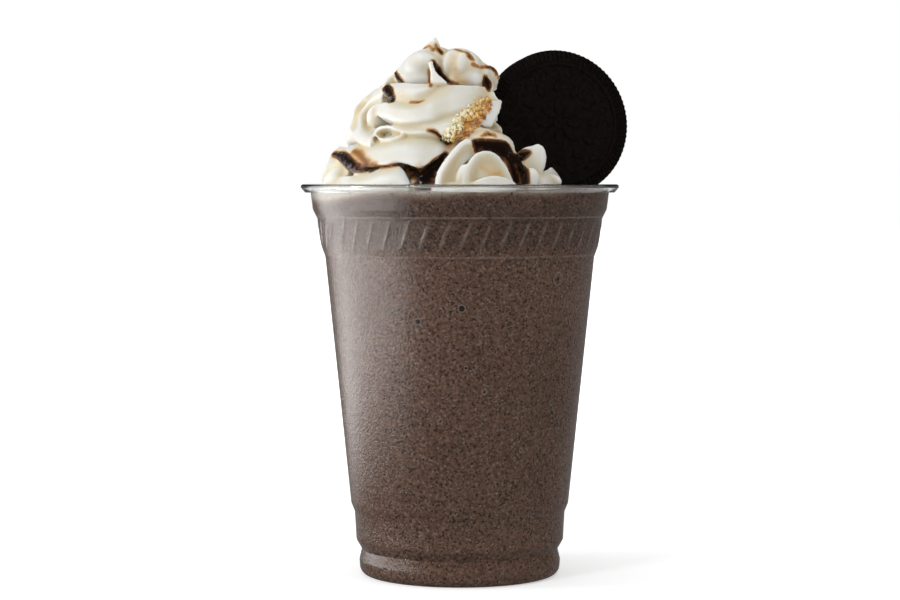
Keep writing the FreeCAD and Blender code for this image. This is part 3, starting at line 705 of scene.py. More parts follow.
# curled lip over the broad band: a flattened loop at its left end
add_sheet([
    rail((-26.0, 135.6, 3.5), (-24.3, 137.2, 4), (-21.5, 137.7, 4), (-18.6, 137.1, 3.8), (-15, 136.7, 3.6),
         (-9.5, 136.9, 3.4), (-5.5, 135.2, 2)),
    rail((-25.6, 134.9, 3.5), (-23.9, 136.3, 4), (-21.2, 136.8, 4.3), (-18.3, 135.8, 4.1), (-15, 135.2, 4.2),
         (-9.5, 135.1, 4), (-5.5, 133.9, 2)),
], lip=2.0, root=3.5, across=8)
add_sheet([
    rail((-26.0, 135.4, 3.4), (-24.0, 134.0, 4.2), (-21.5, 133.8, 4.3), (-18.6, 134.5, 4.1),
         (-16.5, 135.2, 3.4)),
    rail((-25.6, 134.5, 3.4), (-23.8, 133.1, 4.2), (-21.5, 132.9, 4.5), (-18.6, 133.5, 4.3),
         (-16.5, 134.2, 3.4)),
], lip=1.8, root=3.5, across=8)

# shelf between the widest ribbon and the broad band
add_sheet([
    rail((-19.5, 137.9, 2), (-16, 138.0, 2.6), (-12, 138.2, 3.0), (-8, 138.6, 3.6), (-4, 139.8, 4),
         (0, 141.2, 4), (3, 142.6, 3.6)),
    rail((-19.5, 137.3, 3), (-16, 137.2, 3.5), (-12, 137.2, 3.9), (-8, 137.2, 4.4), (-4, 137.8, 4.9),
         (-0.5, 138.8, 4.8), (2.4, 140.0, 4.2)),
    rail((-19.5, 136.4, 2.4), (-16, 136.0, 2.6), (-12, 135.9, 3.0), (-8, 135.6, 3.8), (-4.6, 134.4, 4.4),
         (-1.6, 133.7, 4.4), (0.9, 134.2, 3.8)),
], lip=1.6, root=3.0)

tell("broad band")

# %% Left lobe, a broad lip round a deep hollow
add_sheet([
    rail((-23.5, 149.8, 1), (-27.2, 148.2, 2), (-30.2, 145.8, 2.5), (-32.6, 142.4, 3), (-33.4, 138.6, 3.5),
         (-32.6, 134.8, 4), (-30.4, 132.4, 4.5), (-27.0, 131.4, 5)),
    rail((-23.5, 148.2, 1.5), (-26.6, 146.9, 2.2), (-29.1, 144.9, 2.8), (-31.1, 142.1, 3.2),
         (-31.7, 138.9, 3.8), (-31.1, 135.8, 4.2), (-29.2, 133.8, 4.6), (-26.4, 132.9, 5)),
    rail((-23.5, 146.6, 0), (-25.9, 145.6, 0.5), (-27.9, 144.0, 1), (-29.5, 141.8, 1.5), (-30.0, 139.2, 2),
         (-29.5, 136.7, 2.5), (-28.1, 135.2, 3), (-25.8, 134.5, 3)),
    rail((-23.5, 145.2, -2), (-25.4, 144.4, -2.3), (-26.9, 143.2, -2.6), (-28.1, 141.5, -2.8),
         (-28.5, 139.6, -2.8), (-28.1, 137.7, -2.4), (-27.0, 136.5, -1.5), (-25.3, 136.0, 0)),
    rail((-23.5, 144.0, -3), (-24.9, 143.4, -3.4), (-26.0, 142.5, -3.9), (-27.0, 141.2, -4.2),
         (-27.3, 139.8, -4.2), (-27.0, 138.3, -3.6), (-26.1, 137.4, -2.6), (-24.8, 137.0, -1)),
], lip=1.4, root=2.4, across=20)
add_lump(front(-24.6, 139.9, -4.0), (3.6, 2.6, 4.2), detail=4)

tell("left lobe")

# %% Ribbons
# widest ribbon: free upper lip, full face, rolled lower edge
add_sheet([
    rail((-27.9, 142.4, -1), (-26.4, 143.6, 1), (-24.2, 144.4, 2.2), (-22, 144.7, 3), (-18.5, 144.3, 3.2),
         (-15, 144.3, 3), (-11.5, 145.2, 3), (-9, 146.8, 3), (-6, 148.8, 3), (-2, 149.7, 3.5),
         (2.5, 149.7, 3.5), (6, 149.6, 2), (8.2, 148.4, 0)),
    rail((-26.2, 141.4, -0.5), (-25.0, 142.0, 1.5), (-23.4, 142.0, 3), (-21.6, 141.7, 4.4), (-18.5, 141.4, 5),
         (-15, 141.2, 5.5), (-11.5, 141.8, 5.5), (-9, 142.8, 5.5), (-6, 144.2, 5), (-2, 145.4, 5),
         (2.5, 146, 4.5), (6, 146.2, 3), (8.6, 146, 0)),
    rail((-23.6, 139.6, 0), (-22.8, 139.7, 1.8), (-21.6, 139.3, 3), (-20.4, 138.7, 3.9), (-18.5, 138.3, 4.5),
         (-15, 138.2, 5), (-11.5, 138.5, 5), (-8.5, 139, 5), (-5.5, 140, 4.5), (-1.5, 141, 4.5), (2.5, 142, 4),
         (6, 142.6, 3), (8.8, 143, 0)),
    rail((-21.6, 138.0, -2), (-21, 138, -1.5), (-20.4, 137.6, -1), (-19.6, 137.0, -0.5), (-18.5, 136.6, 0),
         (-15, 136.4, 0), (-11.5, 136.6, 0), (-8.5, 137, 0), (-5.5, 138, 0), (-1.5, 139, 0), (2.5, 139.6, 0),
         (6, 140.4, -1), (8.8, 141, -2)),
], lip=1.5, root=3.0)

# narrow ribbon under the domes, with its sauced left end
add_sheet([
    rail((-24.2, 149.0, 0), (-22.2, 150.2, 1), (-18.5, 150.6, 1.5), (-14, 150.3, 2), (-9, 150.2, 2),
         (-4, 150.6, 1)),
    rail((-23.4, 147.4, 1), (-21.2, 147.2, 3), (-18, 147.2, 4), (-14, 147.2, 4.5), (-9.5, 148.2, 4),
         (-4.5, 149.8, 2)),
    rail((-22.6, 146.2, 0), (-20.2, 144.6, 2), (-17.5, 144.2, 3), (-14, 144.4, 3.5), (-10, 145.8, 3),
         (-5, 148.6, 1)),
], lip=2.5, root=3.0)

tell("ribbons")

# %% Top
# two lobes, the sharp little fin between them, and the peak
add_lump(np.array([-12.2, -8.0, 154.4]), (7.9, 6.6, 5.4), tilt=41, detail=4, ridges=7, ripple=0.05)
add_lump(np.array([-16.4, -6.0, 152.8]), (3.6, 5.4, 3.4), tilt=20)
add_lump(np.array([-12.8, -9.8, 151.6]), (6.0, 5.4, 4.2), ridges=5, ripple=0.04)
add_lump(np.array([1.6, -9.6, 151.8]), (6.6, 5.6, 4.2), ridges=6, ripple=0.05)
add_lump(np.array([0.2, -8.0, 155.3]), (7.2, 6.8, 5.8), tilt=-16, detail=4, ridges=8, ripple=0.06)
add_lump(np.array([5.4, -6.5, 153.2]), (5.0, 5.4, 4.2), tilt=-30, detail=4, ridges=6, ripple=0.06)
add_lump(np.array([-7.0, -5.5, 157.8]), (5.2, 6.2, 4.0), detail=4, ridges=5, ripple=0.05)
add_sheet([
    rail((-9.2, 157.0, 4.0), (-8.9, 153.4, 5.0), (-9.0, 150.0, 5.0)),
    rail((-8.2, 157.2, 3.0), (-6.6, 153.0, 5.2), (-3.6, 150.2, 5.0)),
], lip=0.9, root=2.2, count=30, across=10)
PEAK_STEPS = 8
for step in range(PEAK_STEPS + 1):
    share = step / PEAK_STEPS
    slim = 3.0 * (1 - share) + 0.45
    add_lump(np.array([-8.6 + 1.2 * share, -1.5, 160.2 + 4.2 * share]),
             (slim, slim, 1.6 * (1 - share) + 0.8), detail=2)

# curl at the right of the top, over the cookie's edge
add_sheet([
    rail((3.5, 156.6, 1), (6, 156.8, 2), (9, 156.6, 2), (11.4, 155.2, 1), (12.6, 152.4, 0)),
    rail((3.8, 154.6, 2), (6, 154.6, 3), (8.6, 154.4, 3), (10.4, 153.2, 2.4), (11.4, 151.4, 1)),
], lip=1.8, root=2.2, count=30, across=8)
add_sheet([
    rail((12.2, 153.0, 0), (11.8, 150.6, 1), (10.2, 148.4, 1.5), (8.2, 147.2, 1)),
    rail((9.6, 153.0, 2), (9.2, 151.2, 3), (8.2, 149.8, 3), (6.6, 148.8, 2)),
], lip=1.4, root=2.4, count=30, across=8)

tell("top")

# %% Crumb shelf, pool and valley
# white fin that stands over the cookie, and the shelf that the crumbs lie on
add_sheet([
    rail((6.5, 145.6, 3), (8.6, 145.2, 4), (10.6, 145.2, 4.5), (12.8, 145.6, 5)),
    rail((4.5, 142.6, 4), (7.2, 142.4, 5), (10, 142.4, 5.5), (12.3, 142.6, 5.5)),
    rail((1.5, 139.0, 4), (5, 139.0, 5), (8.6, 139.4, 5), (11, 139.8, 5)),
    rail((-3.5, 135.4, 3), (1, 136.2, 4), (5.5, 137.0, 4), (9.6, 137.2, 4)),
], lip=1.3, root=3.5)

# pool of sauce: the cream under it, and its thin rim
add_sheet([
    rail((0.4, 135.6, 2), (3.5, 137.0, 4), (8, 136.6, 5.5), (11, 135.6, 5.5), (14.5, 134.2, 4), (16, 132.6, 2)),
    rail((0.8, 133.6, 3), (3.8, 134.2, 5), (8, 134, 6.5), (11, 133.4, 6.5), (14.6, 132.2, 5),
         (16.4, 130.6, 2.5)),
    rail((1.5, 128, 1), (4.5, 128, 3), (8, 128, 4), (11.5, 128, 4.5), (15, 127, 3.5), (17, 126, 1.5)),
    rail((2, 118, 0), (5, 118, 1), (9, 118, 2), (12, 118, 2), (15.5, 118, 1.5), (18, 118, 0)),
], lip=1.2, root=3.5)

# dark valley between the broad band and the fins
add_sheet([
    rail((-15, 126.6, -1), (-11, 127.6, 0), (-7, 129.6, 0), (-3, 132, 0), (0, 133, 0)),
    rail((-15, 122, 0), (-11, 122.6, 1), (-7, 124, 1), (-3, 126, 1), (0, 127, 0)),
    rail((-15, 117, 0), (-11, 117, 0), (-7, 117, 0), (-3, 117, 0), (0, 117, 0)),
], lip=3, root=3)
tell("shelf, pool and valley")

# %% Tall fin and round petal
# tall fin: its bright edge climbs from the rim to the crumbs
add_sheet([
    rail((-7.8, 119.5, 4.5), (-7.0, 123.4, 5.5), (-4.6, 127.4, 6), (-2.0, 130.6, 6.5), (0.6, 133.0, 6.5),
         (2.6, 133.6, 6), (4.2, 132.4, 5), (4.8, 129.8, 3.5)),
    rail((-6.3, 119.5, 6.0), (-5.5, 123.3, 7.0), (-3.3, 126.9, 7.4), (-1.0, 129.8, 7.6), (1.1, 131.9, 7.4),
         (2.7, 132.3, 6.8), (3.9, 131.3, 5.8), (4.4, 129.2, 4)),
    rail((-4.4, 119.2, 4.0), (-3.6, 122.8, 5.0), (-1.8, 126.0, 5.4), (0.1, 128.3, 5.6), (1.7, 129.9, 5.4),
         (2.8, 130.3, 5.0), (3.6, 129.8, 4.4), (4.1, 128.4, 3.2)),
    rail((-1.2, 118, 4.4), (-0.6, 121, 5.0), (0.4, 124, 5.2), (1.3, 126, 5.2), (2.2, 127, 5.0), (3, 127, 4.4),
         (3.6, 126.6, 3.6), (4, 126, 2.4)),
], lip=1.2, root=2.4, across=20)

# cream between the fin and the petal
add_lump(front(0.9, 121.4, 5.4), (2.4, 1.6, 4.6), tilt=-8, detail=4)

# round petal with a thin rim and a hollow face, and the white fold under it
add_sheet([
    rail((0.8, 119.5, 7), (1.2, 123.0, 8), (2.6, 126.6, 9), (5.0, 129.2, 9.5), (7.8, 129.9, 9.5),
         (10.6, 129.0, 9), (13.2, 126.0, 8), (15.4, 121.6, 6.5), (16, 119.5, 6)),
    rail((1.9, 119.5, 7.0), (2.3, 123, 7.9), (3.6, 126.1, 8.6), (5.6, 128.2, 9.0), (7.9, 128.8, 9.0),
         (10.2, 128.0, 8.6), (12.5, 125.3, 7.7), (14.5, 121.4, 6.4), (15.1, 119.5, 5.9)),
    rail((3.6, 119.5, 5.6), (4.0, 122.6, 6.3), (5.0, 124.8, 6.9), (6.4, 126.2, 7.2), (8.0, 126.6, 7.2),
         (9.6, 126.0, 6.9), (11.2, 124.0, 6.3), (12.7, 121.2, 5.3), (13.2, 119.5, 4.9)),
    rail((6.6, 119.0, 5.4), (6.8, 120.4, 5.8), (7.2, 121.4, 6.1), (7.7, 121.9, 6.3), (8.2, 122.0, 6.3),
         (8.7, 121.8, 6.2), (9.3, 121.0, 5.8), (9.9, 119.9, 5.2), (10.1, 119.0, 5.0)),
], lip=1.0, root=2.0, across=20)
add_sheet([
    rail((4.0, 121.0, 8.0), (7, 122.2, 9.2), (10.5, 122.6, 9.6), (14, 121.8, 9), (16.5, 120.4, 8)),
    rail((3.5, 118, 7), (7, 118, 8.4), (10.5, 118, 9), (14, 118, 8.4), (17, 118, 7)),
], lip=1.6, root=2.6, across=8)

tell("fin and petal")

# %% Foot of the fins, and two petals at the right
# cream that carries the fins on down to the drink
add_sheet([
    rail((-8.6, 119.8, 0.5), (-7.4, 120.2, 3.2), (-4, 120.6, 5.2), (0, 120.8, 6.2), (4, 120.8, 7.4),
         (8, 120.8, 8.2), (12, 120.8, 7.8), (15.4, 120.2, 6.2)),
    rail((-8.8, 118.4, 0.5), (-7.6, 118.4, 3.4), (-4, 118.4, 5.4), (0, 118.4, 6.4), (4, 118.4, 7.6),
         (8, 118.4, 8.4), (12, 118.4, 8.0), (15.8, 118.4, 6.4)),
    rail((-8.8, 116.2, 0.0), (-7.6, 116.2, 2.8), (-4, 116.2, 4.8), (0, 116.2, 5.8), (4, 116.2, 7.0),
         (8, 116.2, 7.8), (12, 116.2, 7.4), (15.8, 116.2, 5.8)),
], lip=1.2, root=3.0)

# petals next to the cookie: a leaf that leans over, and a low round one
add_lump(front(21.9, 126.2, 6.2), (3.5, 1.7, 6.0), tilt=-17, detail=4)
add_lump(front(19.6, 129.9, 6.4), (2.7, 1.3, 1.1), tilt=24)
add_lump(front(20.4, 121.0, 5.4), (3.0, 2.2, 4.0), tilt=-12)
add_lump(front(26.0, 121.4, 4.0), (4.6, 1.8, 2.1), tilt=-10, detail=4)
add_sheet([
    rail((20.8, 120.2, 4.5), (23.2, 123.0, 6), (26.4, 124.5, 6.6), (29.4, 123.9, 6), (31.0, 121.8, 5)),
    rail((21.8, 119.4, 6.4), (24.0, 121.4, 8), (26.8, 122.3, 8.6), (29.4, 121.8, 7.6), (30.9, 120.4, 6.2)),
    rail((22.4, 117.2, 5.4), (24.4, 117.6, 7), (26.8, 117.8, 7.4), (29.0, 117.6, 6.6), (30.4, 117.2, 5.2)),
], lip=1.5, root=2.2)
tell("right petals")


# %% [markdown]
# ### Folds at the sides and the back
# They are seen less and are all alike, so each is one call: a fold whose lip follows two sine waves round the
# dome.  The waves of neighbours have different lengths and phases, as a hand that pipes never repeats itself.

# %% Ruffles
# share of the way from lip to root, how far it stands out, and how far it lags behind the lip's wave
RUFFLE_RAILS = ((0.0, 1.0, 0.0), (0.35, 2.6, 0.25), (0.7, 1.4, 0.5), (1.0, -1.5, 0.7))
END_SHARE = 7  # a ruffle's ends take up a seventh of its length
DIVE = 5


def add_ruffle(lip_height, root_height, waves, depth, first, last, phase, climb=0.0, before_cookie=False):
    """A wavy fold round part of the dome; it dives into the core at both of its ends."""
    count = int((last - first) * 1.2)
    rails = []
    for share, out, shift in RUFFLE_RAILS:
        line = []
        for degrees in np.linspace(first, last, max(count // 3, 12)):
            along = (degrees - first) / (last - first)
            wave = math.sin(waves * math.radians(degrees) + phase + shift)
            second = math.sin(0.43 * waves * math.radians(degrees) + 2.1 * phase)
            end = min(1, along * END_SHARE, (1 - along) * END_SHARE)
            sharp = (abs(wave) ** 0.7) * (1 if wave > 0 else -1)
            height = lip_height + (root_height - lip_height) * share + climb * along
            height += (0.9 * wave + 0.6 * second) * (1 - share)
            stand = out + (depth * sharp + 0.8 * second) * (1 - 0.55 * share)
            place = around(degrees, height, stand - DIVE * (1 - end))
            place[0] = max(place[0], np.interp(height, *LEFT_EDGE) + 1.0 - 0.4 * stand)
            if before_cookie:
                place[0] = min(place[0], right_edge(height) - 2.0 + 0.55 * stand)
            line.append(place)
        rails.append(line)
    add_sheet(rails, lip=1.5, root=4.0, count=count, across=12)


# %% Pipe the ruffles
# lip's height, root's height, waves, depth, first and last direction, phase (and climb)
BESIDE_COOKIE = [
    (122.8, 115.5, 15, 1.2, -66, 6, 1.1),
    (129.0, 122.0, 14, 1.3, -64, 12, 0.3),
    (135.0, 128.0, 13, 1.2, -60, 16, 2.0),
    (141.0, 134.0, 11, 1.1, -52, 18, 0.8),
    (147.0, 140.0, 10, 1.0, -48, 20, 2.6),
    (152.5, 146.0, 8, 0.9, -44, 20, 1.4),
]
ROUND_THE_REST = [
    (124.0, 116.0, 13, 1.9, 24, 214, 0.4, 0.0),
    (131.5, 123.5, 12, 1.8, 26, 196, 1.7, -1.0),
    (139.0, 131.5, 10, 1.7, 24, 192, 2.9, -0.5),
    (146.5, 139.0, 9, 1.5, 20, 186, 0.9, 1.0),
    (152.5, 146.0, 7, 1.2, 8, 196, 2.2, 0.5),
    (158.0, 151.5, 5, 0.9, 0, 188, 0.2, 1.0),
]
for ruffle in BESIDE_COOKIE:
    add_ruffle(*ruffle, before_cookie=True)
for ruffle in ROUND_THE_REST:
    add_ruffle(*ruffle)
tell("all folds")

# %% [markdown]
# The remesh makes one watertight skin, and a few rounds of smoothing take the stair steps of the voxels
# away and leave the lips soft.  Decimate then thins the flat parts of the mesh and spares the lips.  Last,
# the cream gives way to what it touches: the cookie has pressed its own pocket into it, and the wall of the
# cup holds its foot.

# %% One body of cream
VOXEL = 0.45
MOST_TRIANGLES = 190000
cream = make_object("whipped_cream_swirl", cream_points, cream_faces)
remesh = cream.modifiers.new("melt", "REMESH")
remesh.mode = "VOXEL"
remesh.voxel_size = VOXEL * MM
relax = cream.modifiers.new("soften", "SMOOTH")
relax.factor = 0.5
relax.iterations = 4
apply_modifiers(cream)
triangles = sum(len(face.vertices) - 2 for face in cream.data.polygons)
if triangles > MOST_TRIANGLES:
    thin = cream.modifiers.new("thin", "DECIMATE")
    thin.ratio = MOST_TRIANGLES / triangles
    apply_modifiers(cream)
print("cream had", triangles, "triangles, now", len(cream.data.polygons))

# %% Pocket for the cookie
POCKET_GAP = 0.12


def cookie_frame():
    """Middle and axis of the cookie, from the CAD filling: the axis is the way in which it is thinnest."""
    spots = points_of(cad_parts["cookie_filling"])
    middle = (spots.min(axis=0) + spots.max(axis=0)) / 2
    _, _, ways = np.linalg.svd(spots - spots.mean(axis=0), full_matrices=False)
    axis = ways[2] * (-1 if ways[2][1] > 0 else 1)
    return middle, axis


cookie_middle, cookie_axis = cookie_frame()
wafers = [points_of(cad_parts[node]) for node in ("cookie_front", "cookie_back")]
wafers = np.vstack(wafers) - cookie_middle
along_axis = wafers @ cookie_axis
cookie_half = (along_axis.max() - along_axis.min()) / 2
cookie_radius = np.linalg.norm(wafers - along_axis[:, None] * cookie_axis, axis=1).max()
disc = bmesh.new()
bmesh.ops.create_cone(disc, cap_ends=True, segments=128, radius1=(cookie_radius + POCKET_GAP) * MM,
                      radius2=(cookie_radius + POCKET_GAP) * MM, depth=2 * (cookie_half + POCKET_GAP) * MM)
turned = Vector(cookie_axis).to_track_quat("Z", "Y").to_matrix()
for vertex in disc.verts:
    vertex.co = turned @ vertex.co + Vector(cookie_middle * MM)
pocket_mesh = bpy.data.meshes.new("pocket")
disc.to_mesh(pocket_mesh)
disc.free()
pocket = bpy.data.objects.new("pocket", pocket_mesh)
bpy.context.scene.collection.objects.link(pocket)
press = cream.modifiers.new("press", "BOOLEAN")
press.operation = "DIFFERENCE"
press.solver = "MANIFOLD"
press.object = pocket
apply_modifiers(cream)
bpy.data.objects.remove(pocket)
print(f"cookie radius {cookie_radius:.1f}, half thickness {cookie_half:.2f}")
print("cream", len(cream.data.polygons), "faces")

# %% Keep the foot inside the wall
WALL_REACH = 44.4
RIM_SPAN, FREE_OVER_RIM = 3, 8

spots = points_of(cream)
reach = np.hypot(spots[:, 0], spots[:, 1])
low = np.clip((RIM + RIM_SPAN / 2 - spots[:, 2]) / RIM_SPAN, 0, 1)
limit = WALL_REACH + (1 - low) * FREE_OVER_RIM
outside = reach > limit
spots[outside, :2] *= (limit[outside] / reach[outside])[:, None]
move_points(cream, spots)
print(int(outside.sum()), "points moved in from the wall")

# %% [markdown]
# Painted light and shade: the nozzle's ridges are painted brighter, and the hollows between them darker
# and yellower, as shade falls in them.  Each point is compared with a much smoothed copy of the surface:
# where it lies below the copy it is a hollow, and where it stands above it is a ridge.

# %% Helpers that read a mesh
def smoothed(points, ends, rounds, strength=0.6):
    """Points relaxed towards the mean of their neighbours."""
    count = np.bincount(ends.ravel(), minlength=len(points)).astype(float)[:, None]
    points = points.copy()
    for _ in range(rounds):
        total = np.stack([
            np.bincount(ends[:, 0], points[ends[:, 1], axis], len(points))
            + np.bincount(ends[:, 1], points[ends[:, 0], axis], len(points)) for axis in range(3)], axis=1)
        points += strength * (total / np.maximum(count, 1) - points)
    return points


def edges_of(piece):
    flat = np.empty(len(piece.data.edges) * 2, dtype=np.int64)
    piece.data.edges.foreach_get("vertices", flat)
    return flat.reshape(-1, 2)


def normals_of(piece):
    flat = np.empty(len(piece.data.vertices) * 3)
    piece.data.vertex_normals.foreach_get("vector", flat)
    return flat.reshape(-1, 3)


# %% Hollows of the cream, which set its painted shade
CALM_ROUNDS = 60
DEEP_HOLLOW = 1.2

points = points_of(cream)
normals = normals_of(cream)
calm = smoothed(points, edges_of(cream), CALM_ROUNDS)
hollow = ((calm - points) * normals).sum(axis=1)
# stored for the cream's painted shade: darker and yellower in hollows, brighter on ridges
set_values(cream, "hollow", np.clip(hollow / DEEP_HOLLOW, -1, 1))
print("hollows", hollow.min().round(2), "to", hollow.max().round(2), "mm")


# %% [markdown]
# ## Chocolate sauce
# The sauce is a thin glossy film that was poured over the finished swirl.  Each run is drawn as a line of
# places with a width, as it is seen from the front, and is thrown onto the cream along the line of sight.
# Where a run lies, the film has a rounded section that meets the cream at a low angle.  The film is a copy
# of the cream's own skin lifted by that height, with a second skin just under the surface, so it is a closed
# body that follows every fold.

# %% Where the runs of sauce lie at the front
# across, height, width
FRONT_RUNS = {
    "pointed left end": [(-39.1, 129.3, 0.7), (-36.9, 128.9, 1.4), (-35.0, 127.4, 2.0), (-33.0, 125.7, 1.8),
                         (-30.0, 124.8, 1.1), (-24.8, 125.3, 0.6), (-21.4, 125.7, 0.5), (-18.0, 125.8, 0.6),
                         (-15.2, 124.6, 1.0), (-12.8, 123.4, 1.5)],
    "valley": [(-14.2, 122.6, 1.2), (-10.4, 123.2, 2.2), (-7.7, 125.3, 2.5), (-5.6, 127.6, 1.5),
               (-4.1, 129.3, 0.7)],
    "valley foot": [(-11.8, 121.9, 2.2), (-8.7, 122.3, 2.2)],
    "valley, below the rim": [(-13.2, 119.6, 1.2), (-11.4, 118.4, 1.7), (-9.6, 118.6, 1.5)],
    "block on the narrow ribbon": [(-22.8, 149.8, 1.2), (-21.9, 147.8, 1.9), (-20.7, 145.9, 1.5)],
    "left of the dome": [(-19.2, 155.8, 0.5), (-19.8, 154.1, 0.8), (-18.9, 152.4, 1.1), (-17.6, 151.3, 0.7)],
    "crease": [(-9.6, 155.1, 0.3), (-9.3, 152.8, 0.5), (-9.0, 150.3, 0.55)],
    "bank of the crease": [(-8.1, 157.3, 0.8), (-7.2, 155.5, 1.05), (-5.9, 153.5, 1.0), (-3.6, 151.6, 0.75),
                           (-0.7, 150.7, 0.4)],
    "peak, left": [(-10.9, 161.6, 0.5), (-9.6, 162.3, 0.4)],
    "peak, middle": [(-8.9, 162.0, 0.35), (-8.2, 161.0, 0.55)],
    "peak, right": [(-7.3, 162.7, 0.35), (-6.8, 161.6, 0.6), (-5.9, 160.6, 0.8), (-5.5, 159.8, 0.4)],
    "right lobe, top": [(-1.3, 161.3, 0.5), (0.7, 160.7, 0.5)],
    "right lobe, shoulder": [(2.2, 160.3, 0.6), (3.0, 159.1, 0.75), (4.1, 158.1, 0.4)],
    "right lobe, side": [(4.1, 156.7, 0.55), (5.8, 155.9, 0.4)],
    "curl": [(6.3, 155.7, 0.4), (8.5, 155.9, 0.65), (10.4, 155.1, 0.75), (11.8, 152.7, 0.45)],
    "foot of the curl": [(7.9, 152.5, 0.9), (8.4, 150.4, 1.3), (8.8, 148.8, 0.6)],
    "squiggle": [(-9.6, 136.5, 0.5), (-8.0, 136.2, 0.65), (-6.6, 135.3, 0.7), (-5.3, 133.8, 0.65),
                 (-4.4, 132.9, 0.5), (-3.0, 133.5, 0.35)],
    "under the narrow ribbon": [(-15.2, 145.1, 0.35), (-12.6, 145.1, 0.5), (-10.6, 145.8, 0.3)],
    "pool": [(4.8, 132.3, 1.5), (8.1, 131.8, 2.0), (11.6, 131.5, 2.1), (14.5, 131.2, 1.9), (15.5, 129.1, 1.6),
             (16.6, 127.0, 1.1)],
    "pool, face": [(4.4, 132.6, 0.8), (7.4, 132.3, 1.2), (11.0, 132.0, 1.5), (14.0, 131.6, 1.4),
                   (15.6, 130.2, 1.2)],
    "under the lip of the pool": [(6.7, 134.9, 0.35), (8.8, 135.4, 0.6), (10.9, 134.9, 0.4)],
    "pool, lower": [(5.2, 130.6, 1.0), (8.6, 130.6, 1.3), (12.0, 130.0, 1.8), (14.6, 128.2, 2.0)],
    "beside the round petal": [(14.2, 127.6, 1.6), (15.6, 125.4, 1.7), (16.8, 122.8, 1.6), (17.4, 120.6, 1.3)],
    "drip on the right petal": [(17.2, 128.3, 1.3), (19.3, 129.0, 1.5), (21.3, 129.7, 0.7)],
    "drip to the rim": [(18.3, 126.8, 1.7), (19.4, 123.7, 1.7), (19.9, 121.6, 1.4), (20.1, 119.2, 1.1)],
}

# %% Where they lie round the sides and the back
# direction, height, width
ROUND_RUNS = {
    "right side": [(20, 156, 0.7), (27, 151, 1.0), (24, 146, 1.5), (31, 141, 0.9), (29, 135, 1.3),
                   (36, 129, 0.8)],
    "back, right": [(62, 160, 0.6), (70, 155, 1.0), (66, 149, 0.8), (76, 143, 1.7), (73, 137, 1.0),
                    (82, 131, 1.4), (80, 125, 0.7)],
    "back, across": [(80, 152, 0.6), (90, 149, 1.1), (100, 150, 0.8), (108, 146, 1.5), (114, 140, 0.9)],
    "back, left": [(122, 159, 0.6), (117, 153, 1.1), (124, 146, 0.9), (119, 140, 1.6), (127, 133, 1.0),
                   (124, 126, 1.3)],
    "left side": [(148, 156, 0.6), (143, 150, 1.2), (149, 143, 0.9), (145, 136, 1.6), (151, 129, 0.9)],
    "low, back": [(100, 128, 0.7), (110, 126, 1.6), (120, 123, 1.0)],
}

# %% Where the sauce has only stained the cream
# how strong, then the places
STAINS = {
    "right lobe": (0.44, [(-1.8, 158.2, 1.6), (-1.6, 155.2, 2.2), (-0.9, 152.6, 2.0), (1.5, 151.3, 1.2)]),
    "rim of the pool": (0.42, [(0.4, 134.6, 1.0), (4.7, 136.2, 1.3), (9.5, 136.4, 1.4), (13.6, 135.2, 1.1),
                               (15.8, 134.0, 0.8)]),
    "round petal": (0.45, [(6.9, 125.2, 0.9), (9.6, 123.4, 1.6), (12.0, 123.2, 1.2)]),
    "narrow ribbon": (0.30, [(-18.2, 147.4, 1.4), (-16.3, 145.9, 1.2)]),
    "crumb shelf": (0.45, [(5.0, 144.8, 1.2), (6.9, 146.6, 1.0)]),
    "under the crumbs": (0.66, [(-3.1, 131.6, 1.3), (-3.9, 133.7, 1.8), (-1.1, 135.9, 2.4), (2.6, 139.5, 2.4),
                                (6.1, 143.0, 1.8)]),
    "left end": (0.84, [(-32.6, 130.2, 1.0), (-31.0, 129.4, 1.5), (-29.6, 127.6, 1.7), (-27.6, 126.2, 1.3),
                        (-25.6, 125.9, 0.7)]),
    "lower lip": (0.45, [(-16.0, 124.0, 0.8), (-13.6, 124.8, 1.2), (-12.4, 126.2, 1.0)]),
}

# %% Throw the runs onto the cream
EYE = np.array([CAMERA_OFFSET, -CAMERA_DISTANCE, cup_high.z]) / MM
FRONT_STEPS, ROUND_STEPS = 12, 14  # places along a run for each of its given points
START_AWAY = 40
REACHES_OUT = 44


def bvh_of(piece):
    return BVHTree.FromPolygons([Vector(p) for p in points_of(piece)],
                                [tuple(f.vertices) for f in piece.data.polygons])


def thrown_from_front(run, tree):
    """Places on the cream under a run that is drawn as it is seen from the front."""
    for across, height, width in smooth_line(run, FRONT_STEPS * len(run)):
        aim = np.array([across, 0, height]) - EYE
        hit, normal, _, _ = tree.ray_cast(Vector(EYE), Vector(aim / np.linalg.norm(aim)))
        if hit is not None:
            yield np.array(hit), np.array(normal), width


def thrown_from_round(run, tree):
    """The same for a run that is drawn by direction and height round the swirl."""
    for degrees, height, width in smooth_line(run, ROUND_STEPS * len(run)):
        start = around(degrees, height, START_AWAY)
        middle, _ = dome(height)
        aim = np.array([middle, 0, height]) - start
        hit, normal, _, _ = tree.ray_cast(Vector(start), Vector(aim / np.linalg.norm(aim)))
        if hit is not None and abs(hit[0]) < REACHES_OUT:
            yield np.array(hit), np.array(normal), width


cream_tree = bvh_of(cream)
sauce_spots = [spot for run in FRONT_RUNS.values() for spot in thrown_from_front(run, cream_tree)]
sauce_spots += [spot for run in ROUND_RUNS.values() for spot in thrown_from_round(run, cream_tree)]
stain_spots = [(spot, strength) for strength, run in STAINS.values()
               for spot in thrown_from_front(run, cream_tree)]
print(len(sauce_spots), "places of sauce,", len(stain_spots), "of stain")

